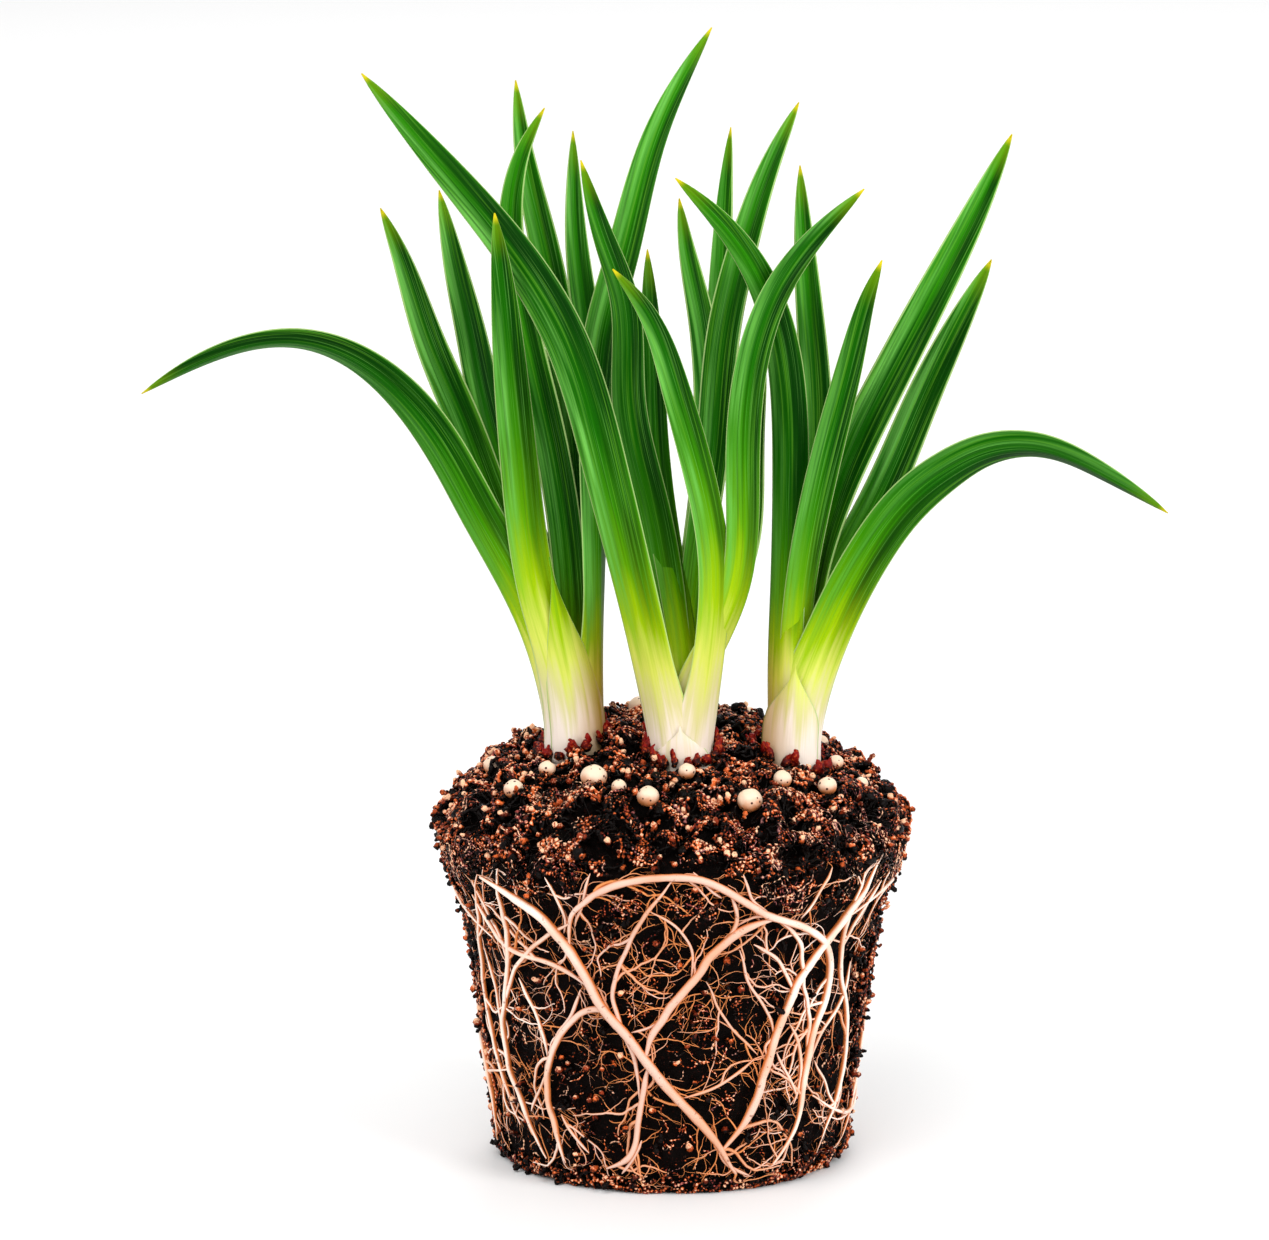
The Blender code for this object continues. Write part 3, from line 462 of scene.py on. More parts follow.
class Finish:
    """A material under construction."""

    def __init__(self, name):
        self.material = bpy.data.materials.new(name)
        self.material.use_nodes = True
        self.tree = self.material.node_tree
        self.tree.nodes.clear()

    def node(self, kind, settings=None, *values, output=0, **named):
        """A node of this kind, its settings made first, then its inputs in order or by name."""
        made = self.tree.nodes.new(kind)
        for name, value in (settings or {}).items():
            if name == "stops":
                self.set_stops(made.color_ramp, value)
            else:
                setattr(made, name, value)
        for key, value in [*enumerate(values), *named.items()]:
            socket = made.inputs[key.replace("_", " ") if isinstance(key, str) else key]
            if isinstance(value, Tone):
                self.tree.links.new(value.socket, socket)
            elif value is not None:
                socket.default_value = value
        return Tone(self, made.outputs[output]) if made.outputs else None

    def set_stops(self, ramp, stops):
        """Places a ramp's colours."""
        while len(ramp.elements) < len(stops):
            ramp.elements.new(1.0)
        for element, (place, colour) in zip(ramp.elements, stops):
            element.position = place
            element.color = paint(colour)

    def mark(self, name, vector=False):
        """A number, or a set of three, that the mesh carries at each point."""
        return self.node("ShaderNodeAttribute", {"attribute_name": name}, output=1 if vector else 2)

    def ramp(self, value, low, high, stops):
        """A colour for each value from low to high. The stops' places are in the value's own units."""
        spread = [((place - low) / (high - low), colour) for place, colour in stops]
        return self.node("ShaderNodeValToRGB", {"stops": spread}, (value - low) * (1 / (high - low)))

    def mix(self, share, first, second, how="MIX"):
        """Two colours mixed by a share from 0 to 1."""
        colours = [c if isinstance(c, Tone) else paint(c) for c in (first, second)]
        settings = {"data_type": "RGBA", "blend_type": how}
        return self.node("ShaderNodeMix", settings, share, None, None, None, None, None, *colours, output=2)

    def noise(self, place, scale, detail=2.0, stretch=None):
        """Soft noise from 0 to 1 at a place, finer as scale grows."""
        if stretch:
            place = self.node("ShaderNodeVectorMath", {"operation": "MULTIPLY"}, place, stretch)
        return self.node("ShaderNodeTexNoise", None, Vector=place, Scale=scale, Detail=detail)

    def surface(self, colour, roughness, relief=None, depth=0.1, strength=0.5, **constants):
        """The finished surface. Relief is a height from 0 to 1 that stands depth millimetres deep."""
        bump = None
        if relief is not None:
            bump = self.node("ShaderNodeBump", None, Strength=strength, Distance=depth * MM, Height=relief)
        shader = self.node("ShaderNodeBsdfPrincipled", None, Base_Color=colour, Roughness=roughness,
                           Normal=bump, **constants)
        self.node("ShaderNodeOutputMaterial", None, shader)
        return self.material


def leaf_finish():
    """Onion leaf: white at the stem, then yellow-green to deep green, veined, with a painted sheen on the
    flank towards the light, painted shade on its other half, and painted shade where neighbouring stems
    shade it.
    """
    f = Finish("onion_leaf")
    grain = f.mark("grain", vector=True)
    across = f.mark("across")
    to_tip = f.mark("to_tip")
    pale = f.mark("pale")
    streaks = f.noise(grain, 1.0, 2.0, (0.7, 0.03, 1.0))
    veins = f.noise(grain, 1.0, 2.0, (2.1, 0.02, 1.0))
    hairs = f.noise(grain, 1.0, 1.0, (6.0, 0.03, 1.0))
    patches = f.noise(grain, 1.0, 1.0, (0.25, 0.05, 1.0))
    height = f.mark("height") + (streaks - 0.5) * 22 + (veins - 0.5) * 10
    green = f.ramp(height, 84, 236, LEAF_STOPS)
    coloured = f.mark("height").rise(108, 150)
    # Painted sheen: a pale streaky band on the half of each leaf that faces the light, as strong as its
    # pale mark says
    painted_sheen = (0 - across).rise(0.1, 0.55) * streaks.rise(0.3, 0.75) * pale * coloured
    sheened = f.mix(painted_sheen * 0.9, green, LEAF_SHEEN_AND_FIBRE)
    # Painted shade on the half of each leaf that is turned from the light
    painted_shade_half = across.rise(0.0, 0.35) * (1 - across.rise(0.75, 1.0)) * (0.3 + patches) * coloured
    shaded = f.mix(painted_shade_half * 0.85, sheened, LEAF_SHADE)
    fibres = f.mix(hairs.rise(0.56, 0.74) * 0.3 * coloured, shaded, LEAF_SHEEN_AND_FIBRE)
    lines = f.mix(veins.rise(0.52, 0.72) * 0.5 * coloured, fibres, LEAF_STREAK)
    furrows = f.mix(veins.rise(0.5, 0.3) * 0.4 * coloured, lines, LEAF_SHADE)
    margin = abs(across).rise(0.93, 0.98) * 0.75
    edged = f.mix(margin, furrows, LEAF_MARGIN)
    # Painted shade, tinted warm, where neighbouring stems shade the lower stem
    neighbour_shaded = f.mix(f.mark("shade") * (0.65 + streaks * 0.5), edged, STEM_SHADE, "MULTIPLY")
    near_tip = f.mix((1 - to_tip.rise(1.5, 12.0)) * 0.6, neighbour_shaded, TIP_GREEN)
    tipped = f.mix(1 - to_tip.rise(0.3, 3.0), near_tip, TIP_YELLOW)
    roughness = 0.36 + veins * 0.14
    relief = veins * 0.7 + hairs * 0.3
    return f.surface(tipped, roughness, relief, 0.16, 0.8, Specular_IOR_Level=0.03)


def soil_core_finish():
    """Moist potting soil in the hollows: nearly black, the soil's own dark colour with the painted shade of
    the hollows, and brown flecks.
    """
    f = Finish("soil_core")
    place = f.mark("place", vector=True)
    fleck = f.noise(place, 1.6, 4.0)
    colour = f.mix(fleck.rise(0.58, 0.76) * 0.7, CORE_BLACK, CRUMB_DARK)
    return f.surface(colour, 0.75 - fleck * 0.2, fleck, 0.5, 0.9, Specular_IOR_Level=0.05)


def crumb_finish():
    """Soil crumbs and coir: painted near-black shade where deep or turned from the light, brown to orange
    where painted lit, painted tan glints on the brightest tops, each a little different.
    """
    f = Finish("soil_crumb")
    place = f.mark("place", vector=True)
    own = f.ramp(f.mark("tint"), 0.0, 1.0, CRUMB_STOPS)
    speck = f.noise(place, 1.9, 3.0)
    deep = f.noise(place, 0.13, 2.0).rise(0.42, 0.62)
    proud = f.mark("proud") + (speck - 0.5) * 0.5 - deep * 0.16
    # Painted light: near-black painted shade below, the crumb's own colour where painted lit
    lit = f.mix(proud.rise(0.74, 0.98), CRUMB_BLACK, own)
    # Painted glints: tan highlights on the brightest crumb tops
    colour = f.mix(proud.rise(0.95, 1.06) * 0.95, lit, CRUMB_TAN_AND_GLINT)
    return f.surface(colour, 0.46 - speck * 0.2, speck, 0.3, 0.8, Specular_IOR_Level=0.08)


def scale_finish():
    """The dark red scales at the foot of each stem, near black in painted shade low down."""
    f = Finish("base_scale")
    place = f.mark("place", vector=True)
    speck = f.noise(place, 1.7, 3.0)
    share = f.mark("proud") * (0.35 + speck)
    # Painted shade: near black where a scale is low, its red further up
    colour = f.mix(share.rise(0.2, 0.75), CRUMB_BLACK, SCALE_RED)
    rusty = f.mix(speck.rise(0.54, 0.68) * 0.4, colour, CRUMB_ORANGE)
    return f.surface(rusty, 0.42, speck, 0.3, 0.8, Specular_IOR_Level=0.12)


def root_finish():
    """Root skin: cream, pink or tan along the crest, orange painted shade at the flanks, with brown nicks.
    """
    f = Finish("root_skin")
    place = f.mark("place", vector=True)
    patch = f.noise(place, 0.16, 2.0)
    fine = f.noise(place, 2.4, 3.0)
    pale = f.mix(f.mark("middle") * (0.5 + patch), ROOT_CREAM, ROOT_PINK)
    golden = f.noise(place, 0.06, 2.0).rise(0.45, 0.7) * 0.5
    light = f.mix(f.mark("tint") + golden, pale, ROOT_TAN)
    # Painted shade: orange on the flanks that turn away from the crest
    body = f.mix(f.mark("crest").rise(0.1, 0.96) * (0.65 + patch * 0.7), ROOT_ORANGE_SHADE, light)
    nicks = f.noise(place, 0.9, 2.0).rise(0.66, 0.72)
    colour = f.mix(nicks * 0.55, body, ROOT_NICK)
    return f.surface(colour, 0.42 + fine * 0.2, fine, 0.12, 0.6, Specular_IOR_Level=0.2)


def bead_finish():
    """Feed beads: cream clay, in peach painted shade below, with a few dark dots."""
    f = Finish("feed_bead")
    place = f.mark("place", vector=True)
    fine = f.noise(place, 2.0, 3.0)
    patch = f.noise(place, 0.4, 2.0)
    dots = f.node("ShaderNodeTexVoronoi", None, Vector=place, Scale=0.7)
    # Painted shade: peach on each bead's lower side
    low = (f.mark("crest") + (patch - 0.5) * 1.2).rise(0.45, -0.6)
    body = f.mix(low, BEAD_CREAM, BEAD_PEACH_SHADE)
    colour = f.mix(1 - dots.rise(0.18, 0.23), body, BEAD_DOT)
    return f.surface(colour, 0.4 + fine * 0.2, fine, 0.08, 0.4, Specular_IOR_Level=0.3)


def add_piece(name, points, faces, material, nodes, marks):
    """A named mesh that rides on the root, from points in millimetres and triangles."""
    mesh = bpy.data.meshes.new(name)
    mesh.vertices.add(len(points))
    mesh.vertices.foreach_set("co", (points * MM).astype(np.float32).ravel())
    mesh.loops.add(faces.size)
    mesh.loops.foreach_set("vertex_index", faces.astype(np.int32).ravel())
    mesh.polygons.add(len(faces))
    mesh.polygons.foreach_set("loop_start", np.arange(0, faces.size, 3, dtype=np.int32))
    mesh.update(calc_edges=True)
    for mark, values in {"place": points, **marks}.items():
        kind, field = ("FLOAT", "value") if values.ndim == 1 else ("FLOAT_VECTOR", "vector")
        mesh.attributes.new(mark, kind, "POINT").data.foreach_set(field, values.astype(np.float32).ravel())
    mesh.materials.append(material)
    mesh.shade_smooth()
    piece = bpy.data.objects.new(name, mesh)
    bpy.context.scene.collection.objects.link(piece)
    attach(piece, "root")
    if nodes:
        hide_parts(*nodes)


class Heap:
    """Closed solids gathered into one mesh, with the numbers that their finish reads."""

    def __init__(self):
        self.points = []
        self.faces = []
        self.marks = {}
        self.count = 0

    def add(self, points, faces, **marks):
        """Adds solids. Each mark is one number for all their points, or one for each."""
        points = points.reshape(-1, 3)
        self.points.append(points)
        self.faces.append(faces.reshape(-1, 3) + self.count)
        self.count += len(points)
        for name, values in marks.items():
            values = np.asarray(values, float)
            if values.ndim == 0:
                values = np.full(len(points), float(values))
            self.marks.setdefault(name, []).append(values)

    def piece(self, name, material, slot, nodes=()):
        """Makes the piece, which stands in for these nodes."""
        marks = {mark: np.concatenate(values) for mark, values in self.marks.items()}
        points = np.concatenate(self.points)
        add_piece(name, points, np.concatenate(self.faces), material, nodes, marks)


def lone_piece(name, points, faces, material, slot, nodes=(), **marks):
    """A piece made of one set of solids."""
    heap = Heap()
    heap.add(points, faces, **marks)
    heap.piece(name, material, slot, nodes)


def round_ball(fineness):
    """A ball of radius 1 from evenly spread triangles."""
    shape = bmesh.new()
    bmesh.ops.create_icosphere(shape, subdivisions=fineness, radius=1.0)
    ball = np.array([vertex.co for vertex in shape.verts])
    faces = np.array([[vertex.index for vertex in face.verts] for face in shape.faces])
    shape.free()
    return ball, faces


def run_along(points):
    """How far along a line each of its points lies."""
    return np.concatenate([[0.0], np.cumsum(np.linalg.norm(np.diff(points, axis=0), axis=1))])


def smooth_line(knots, spacing):
    """Points spread evenly along the natural cubic spline through the knots, spacing apart at most."""
    knots = np.array(knots, float)
    spans = np.linalg.norm(np.diff(knots, axis=0), axis=1)
    last = len(knots) - 1
    system = np.eye(last + 1)
    slopes = np.diff(knots, axis=0) / spans[:, None]
    turns = np.zeros_like(knots)
    for i in range(1, last):
        system[i, i - 1 : i + 2] = spans[i - 1], 2 * (spans[i - 1] + spans[i]), spans[i]
        turns[i] = 6 * (slopes[i] - slopes[i - 1])
    bends = np.linalg.solve(system, turns)
    fine = []
    for i in range(last):
        for share in np.linspace(0, 1, 24, endpoint=(i == last - 1)):
            a, b, span = (1 - share), share, spans[i]
            fine.append(
                a * knots[i] + b * knots[i + 1]
                + span**2 / 6 * ((a**3 - a) * bends[i] + (b**3 - b) * bends[i + 1])
            )
    fine = np.array(fine)
    run = run_along(fine)
    wanted = np.linspace(0, run[-1], max(3, math.ceil(run[-1] / spacing) + 1))
    return np.column_stack([np.interp(wanted, run, fine[:, k]) for k in range(3)]), run[-1]


def smooth_step(low, high, value):
    """0 below low, 1 above high, and a smooth rise between."""
    share = np.clip((value - low) / (high - low), 0.0, 1.0)
    return share * share * (3 - 2 * share)


def around(degrees):
    """The level direction that an angle round the part looks in: 0 is the front, 90 the right."""
    angle = np.radians(degrees)
    return np.stack([np.sin(angle), -np.cos(angle), np.zeros_like(angle, dtype=float)], axis=-1)


def unit(vectors):
    """The same directions, one long."""
    return vectors / np.maximum(np.linalg.norm(vectors, axis=-1, keepdims=True), 1e-9)


def ring_faces(rings, sides):
    """Triangles between closed rings of points, and to a point added after them at each end."""
    i, j = np.meshgrid(np.arange(rings - 1), np.arange(sides), indexing="ij")
    a = (i * sides + j).ravel()
    b = (i * sides + (j + 1) % sides).ravel()
    faces = [np.column_stack([a, b, b + sides]), np.column_stack([a, b + sides, a + sides])]
    j = np.arange(sides)
    first, last = rings * sides, rings * sides + 1
    top = (rings - 1) * sides
    faces.append(np.column_stack([np.full(sides, first), (j + 1) % sides, j]))
    faces.append(np.column_stack([np.full(sides, last), top + j, top + (j + 1) % sides]))
    return np.concatenate(faces)


def with_ends(rings):
    """The points of all the rings, and after them the middles of the first and last."""
    return np.concatenate([rings.reshape(-1, 3), [rings[0].mean(0), rings[-1].mean(0)]])


def repeated(faces, count, size):
    """One solid's faces for each of count solids, whose points follow one another, size to a solid."""
    return faces[None] + (np.arange(count) * size)[:, None, None]


def tubes(lines, outs, radii, sides):
    """Tubes round many lines of equal count, with how much each point faces the way that outs gives."""
    along = unit(np.gradient(lines, axis=1))
    sideways = unit(np.cross(along, outs))
    upward = np.cross(sideways, along)
    turn = np.arange(sides) * (math.tau / sides)
    reach = radii[..., None, None]
    rings = lines[:, :, None] + reach * (
        np.cos(turn)[:, None] * upward[:, :, None] + np.sin(turn)[:, None] * sideways[:, :, None])
    count, steps = radii.shape
    ends = np.stack([lines[:, 0] - along[:, 0] * radii[:, :1] * DOME_SHARE,
                     lines[:, -1] + along[:, -1] * radii[:, -1:] * DOME_SHARE], axis=1)
    points = np.concatenate([rings.reshape(count, -1, 3), ends], axis=1)
    crest = np.concatenate([np.tile(np.cos(turn), (count, steps)), np.zeros((count, 2))], axis=1)
    return points, repeated(ring_faces(steps, sides), count, points.shape[1]), crest


# Shares from margin to margin over a blade's outer face, and back over its inner face
ACROSS = np.linspace(-1, 1, BLADE_ACROSS)
BLADE_SHARES = np.concatenate([ACROSS, ACROSS[::-1]])

# The soil's outline as a road: how far down it each knot lies, with its radius and height there
OUTLINE = np.array(SOIL_OUTLINE, float)
OUTLINE_RUN = run_along(OUTLINE)


def wall_radius(height):
    """The soil's radius at a height on its wall."""
    wall = [(z, r) for r, z in reversed(SOIL_OUTLINE) if z <= RIM_HEIGHT + 1 and r > WALL_FROM]
    return np.interp(height, *zip(*wall))


def outline_at(run):
    """Radius and height, run millimetres down the outline, with its corners eased."""
    eased = np.zeros((*np.shape(run), 2))
    shifts = (-1.8, -0.6, 0.6, 1.8)
    for shift in shifts:
        place = np.clip(run + shift, 0, OUTLINE_RUN[-1])
        eased[..., 0] += np.interp(place, OUTLINE_RUN, OUTLINE[:, 0]) / len(shifts)
        eased[..., 1] += np.interp(place, OUTLINE_RUN, OUTLINE[:, 1]) / len(shifts)
    return eased


def soil_place(turn, run):
    """Points on the soil, turn degrees round it and run down its outline, and their outward ways."""
    here = outline_at(run)
    slope = unit(outline_at(run + 0.8) - outline_at(run - 0.8))
    level = around(turn)
    points = level * here[..., :1]
    points[..., 2] = here[..., 1]
    reach = np.hypot(points[..., 0], points[..., 1])
    back = MOUND_SET_BACK * np.clip(1 - (reach / RIM_RADIUS) ** 2, 0, None)
    points[..., 1] += np.where(here[..., 1] > RIM_HEIGHT, back, 0.0)
    outs = level * -slope[..., 1:]
    outs[..., 2] = slope[..., 0]
    return points, unit(outs)


def waves(points, spacing, seed):
    """Smooth lumps from -1 to 1 about spacing millimetres apart."""
    draws = np.random.default_rng(seed)
    ways = unit(draws.normal(size=(WAVE_COUNT, 3))) * (math.tau / spacing)
    ways = ways * draws.uniform(0.6, 1.5, (WAVE_COUNT, 1))
    phases = draws.uniform(0, math.tau, WAVE_COUNT)
    return np.sin(points @ ways.T + phases).sum(-1) / math.sqrt(WAVE_COUNT) / 1.5


def lumps(points):
    """How far the soil stands out in lumps: boldly on the mound and rim, gently on the wall.

    Round each stem it lies in a slight hollow.
    """
    bold = 0.2 + 0.8 * smooth_step(68, 80, points[..., 2])
    away = np.min([np.hypot(points[..., 0] - stem.x, points[..., 1] - stem.y) for stem in STEMS], axis=0)
    hollow = STEM_HOLLOW * smooth_step(14, 8, away) * smooth_step(74, 80, points[..., 2])
    return bold * (1.8 * waves(points, 11.0, 3) + 0.9 * waves(points, 4.5, 4)) - hollow


def pits(points):
    """How far each point lies in a pit, from 0 to 1. Only the mound and rim are pitted."""
    return smooth_step(71, 80, points[..., 2]) * smooth_step(-0.1, 0.5, waves(points, 7.0, 21))


def blade_ring(point, tangent, looks, shape, thickness, fold):
    """One ring of a blade: its curved and folded outer face, and its inner face, thin at the margins."""
    width, half_angle, twist, opened = shape
    outward = around(looks)
    outward = unit(outward - outward.dot(tangent) * tangent)
    outward = np.array(Matrix.Rotation(math.radians(twist), 3, Vector(tangent)) @ Vector(outward))
    sideways = np.cross(tangent, outward)
    radius = width / 2 / math.sin(half_angle)
    turned = half_angle * ACROSS
    facing = np.cos(turned)[:, None] * outward + np.sin(turned)[:, None] * sideways
    outer = point - radius * outward + radius * facing
    ends = np.where(ACROSS[:, None] < 0, outer[0], outer[-1])
    middle = outer[BLADE_ACROSS // 2]
    straight = middle + np.abs(ACROSS)[:, None] * (ends - middle)
    outer = outer + fold * opened * (straight - outer)
    thin = 1 - (1 - MARGIN_SHARE) * np.abs(ACROSS) ** 3
    inner = outer - facing * (thickness * thin)[:, None]
    return np.concatenate([outer, inner[::-1]])


def blade_mesh(heap, line, looks, shape_at, thickness, fold, marks_at):
    """A closed blade along a line, thinner towards its tip, with the numbers that its finish reads."""
    tangents = unit(np.gradient(line, axis=0))
    run = run_along(line)
    count = len(BLADE_SHARES)
    rings = []
    marks = {"across": [], "height": [], "to_tip": [], "grain": []}
    for i, (point, tangent) in enumerate(zip(line, tangents)):
        shape = shape_at(i / (len(line) - 1))
        left = run[-1] - run[i]
        end_share = TIP_THIN + (1 - TIP_THIN) * smooth_step(0, TIP_THINS_OVER, left)
        ring = blade_ring(point, tangent, looks, shape, thickness * end_share, fold)
        rings.append(ring)
        marks["across"].append(BLADE_SHARES * marks_at["side"])
        marks["height"].append(STEM_TOP + (ring[:, 2] - marks_at["white"]) * marks_at["greens"])
        marks["to_tip"].append(np.full(count, left + marks_at["dry"]))
        spread = BLADE_SHARES * max(shape[0] / 2, 1.0)
        level = np.full(count, run[i])
        marks["grain"].append(np.column_stack([spread, level, np.full(count, marks_at["own"])]))
    points = with_ends(np.array(rings))
    flat = {}
    for name, values in marks.items():
        values = np.concatenate(values)
        flat[name] = np.concatenate([values, values[:1], values[-1:]])
    heap.add(points, ring_faces(len(rings), count), pale=marks_at["pale"],
             shade=stem_shade(points, marks_at["stem"]), **flat)


def stem_shade(points, stem):
    """How much its neighbours shade each point of a stem, from 0 to 1."""
    beside = stem.shaded * (points[:, 0] - stem.x) / STEM_HALF
    return np.clip(0.15 + beside, 0, 1) * (1 - smooth_step(108, 140, points[:, 2]))


def leaf_shape(leaf, length):
    """A strap leaf's width, half angle, twist and openness at a share of its length."""
    wrap = WRAPS[leaf.wrap]
    wrap_width = 2 * wrap.radius * math.sin(math.radians(min(90, wrap.half_angle)))

    def shape_at(share):
        opened = float(smooth_step(2, wrap.opens, share * length))
        taper = (1 - share**TAPER_POWER) ** TAPER_ROUND
        half_angle = math.radians(wrap.half_angle + opened * (BLADE_HALF_ANGLE - wrap.half_angle))
        width = wrap_width + opened * (leaf.width * taper - wrap_width)
        twist = leaf.twist * float(smooth_step(*wrap.twists, share))
        return max(width, TIP_WIDTH), half_angle, twist, opened

    return shape_at


def add_leaf(heap, leaf, stem, own):
    """A strap leaf: a wrap round the shank that opens into a folded blade and tapers to a point."""
    wrap = WRAPS[leaf.wrap]
    out = around(leaf.looks) * wrap.radius
    foot = np.array([stem.x, stem.y, wrap.foot]) + out
    collar = np.array([stem.x, stem.y, wrap.collar]) + out
    line, length = smooth_line([foot, collar, *leaf.via, leaf.tip], BLADE_STEP)
    shape_at = leaf_shape(leaf, length)
    looks_front = math.cos(math.radians(leaf.looks)) > 0
    # Side turns each blade's across share so that its painted sheen lies on the half that faces the light
    # and its painted shade on the other half
    marks = {"side": 1 if looks_front else -1, "greens": leaf.greens, "white": wrap.white,
             "own": own * GRAIN_SHIFT, "pale": leaf.pale, "dry": 0.0, "stem": stem}
    blade_mesh(heap, line, leaf.looks, shape_at, BLADE_THICKNESS, FOLD_SHARE, marks)


def add_sheath(heap, sheath, stem, own):
    """A short thin sheath that wraps the stem's front and ends in a point."""
    out = around(sheath.looks) * sheath.radius
    foot = np.array([stem.x, stem.y, sheath.foot]) + out
    collar = foot + np.array([0, 0, SHEATH_COLLAR])
    tip = np.array(sheath.tip, float)
    middle = collar + 0.55 * (tip - collar) + 0.4 * around(sheath.looks)
    line, length = smooth_line([foot, collar, middle, tip], SHEATH_STEP)
    full = 2 * sheath.radius * math.sin(math.radians(sheath.half_angle))

    def shape_at(share):
        narrowed = float(smooth_step(SHEATH_NARROWS_FROM, length, share * length))
        width = full * max(0.0, 1 - narrowed**SHEATH_ROUND)
        half_angle = math.radians(sheath.half_angle - SHEATH_CLOSES * narrowed)
        return max(width, TIP_WIDTH), half_angle, 0.0, 0.0

    marks = {"side": 1, "greens": sheath.greens, "white": STEM_TOP, "own": own * GRAIN_SHIFT,
             "pale": SHANK_PAINTED_SHEEN, "dry": SHEATH_DRY, "stem": stem}
    blade_mesh(heap, line, sheath.looks, shape_at, SHEATH_THICKNESS, 0.0, marks)


def add_shank(heap, stem):
    """The white shank, turned from its outline."""
    outline = [place for place in SHANK if place[0] > 0]
    radii, heights = np.array(outline, float)[::-1].T
    levels = np.linspace(heights[0], heights[-1], SHANK_LEVELS)
    reach = np.interp(levels, heights, radii)
    turn = np.linspace(0, 360, SHANK_SIDES, endpoint=False)
    rings = around(turn)[None] * reach[:, None, None]
    rings[..., 2] = levels[:, None]
    rings += np.array([stem.x, stem.y, 0.0])
    ends = np.array([[stem.x, stem.y, SHANK[-1][1]], [stem.x, stem.y, SHANK[0][1]]], float)
    points = np.concatenate([rings.reshape(-1, 3), ends])
    grain = np.column_stack([np.append(np.tile(turn, len(levels)), [0, 0]) * 0.11, points[:, 2],
                             np.full(len(points), stem.x)])
    heap.add(points, ring_faces(SHANK_LEVELS, SHANK_SIDES), pale=SHANK_PAINTED_SHEEN, across=0.0, to_tip=NO_TIP,
             height=points[:, 2], grain=grain, shade=stem_shade(points, stem))


def build_shoot(stem, material):
    """A whole shoot: the shank, the leaves that wrap it and its old sheath."""
    heap = Heap()
    add_shank(heap, stem)
    for own, leaf in enumerate(LEAVES):
        if leaf.stem == stem.name:
            add_leaf(heap, leaf, stem, own)
    for own, sheath in enumerate(SHEATHS):
        if sheath.stem == stem.name:
            add_sheath(heap, sheath, stem, len(LEAVES) + own)
    heap.piece("onion_shoot_" + stem.name, material, "leaf", ["shoot_" + stem.name])


def back_roots(rng):
    """Roots behind, each leaning across the next as it wanders down the wall."""
    top, bottom = BACK_ROOT_SPAN
    found = []
    for i in range(BACK_ROOTS):
        start = BACK_ARC[0] + (BACK_ARC[1] - BACK_ARC[0]) * (i + 0.5) / BACK_ROOTS
        lean = BACK_LEAN * (1 if i % 2 else -1)
        route = []
        for step in range(6):
            share = step / 5
            angle = start + lean * (share - 0.5) * 2 + rng.uniform(-BACK_SWAY, BACK_SWAY)
            route.append((angle, top + (bottom - top) * share))
        found.append(Root(f"back_{i}", rng.uniform(*BACK_ROOT_SIZES), tuple(route)))
    return found


def root_line(root):
    """A main root's centre line on the wall and its radius at each point."""
    knots = []
    for degrees, height in root.route:
        reach = wall_radius(height) + GAP + root.diameter / 2
        knots.append(around(degrees) * reach + np.array([0, 0, height]))
    line, _ = smooth_line(knots, ROOT_STEP)
    share = np.linspace(0, 1, len(line))
    ends = np.minimum(1.0, 6 * np.minimum(share, 1 - share))
    own = sum(map(ord, root.name))
    sway = waves(line, 9.0, own) * ROOT_SWAY
    swell = 1 + ROOT_SWELL * waves(line, 3.0, own + 1)
    radii = root.diameter / 2 * (ROOT_TIP_SHARE + (1 - ROOT_TIP_SHARE) * ends) * swell
    level = unit(line * np.array([1, 1, 0]))
    sideways = np.column_stack([-level[:, 1], level[:, 0], np.zeros(len(line))])
    line = line + sideways * sway[:, None]
    reach = wall_radius(line[:, 2]) + GAP + root.diameter / 2
    line[:, :2] *= (reach / np.hypot(line[:, 0], line[:, 1]))[:, None]
    return line, radii


def wandering(draws, starts, headings, curls, kind):
    """Lines that wander over the wall from starts, each an angle and a height, with their headings."""
    turn, height = starts[:, 0].copy(), starts[:, 1].copy()
    step = kind.spacing * draws.uniform(0.6, 1.25, len(starts))
    lines = []
    for _ in range(kind.rings):
        lines.append(np.column_stack([turn, height, headings]))
        upward = np.cos(headings)
        side = np.sign(np.sin(headings))
        steer = RIM_STEER * side * ((height > RIM_STEER_FROM) & (upward > 0))
        steer = steer - FOOT_STEER * side * ((height < FOOT_STEER_FROM) & (upward < 0))
        headings = headings + curls + steer + draws.normal(0, WANDER, len(starts))
        slowed = step * np.where(upward < 0, np.clip((height - 1.0) / 7, 0.2, 1), 1)
        turn = turn + np.degrees(slowed * np.sin(headings) / wall_radius(height))
        height = np.clip(height + slowed * np.cos(headings), *SIDE_ROOT_SPAN)
    return np.stack(lines, 1)


def spread(draws, bearing, kind):
    """Forks chosen at random from the bearing roots' points, no more than one in each cell of the wall."""
    taken, chosen = set(), []
    cells = np.round(bearing[:, :2] * [DEGREE_LONG / kind.cell, 1 / kind.cell]).astype(int)
    for index in draws.permutation(len(bearing)):
        cell = tuple(cells[index])
        if cell not in taken and len(chosen) < kind.count:
            taken.add(cell)
            chosen.append(index)
    return bearing[chosen]


def middle_share(points):
    """How near each point lies to the middle of the wall's front or back, from 0 to 1."""
    return smooth_step(32, 14, abs(points[..., 0])).ravel()


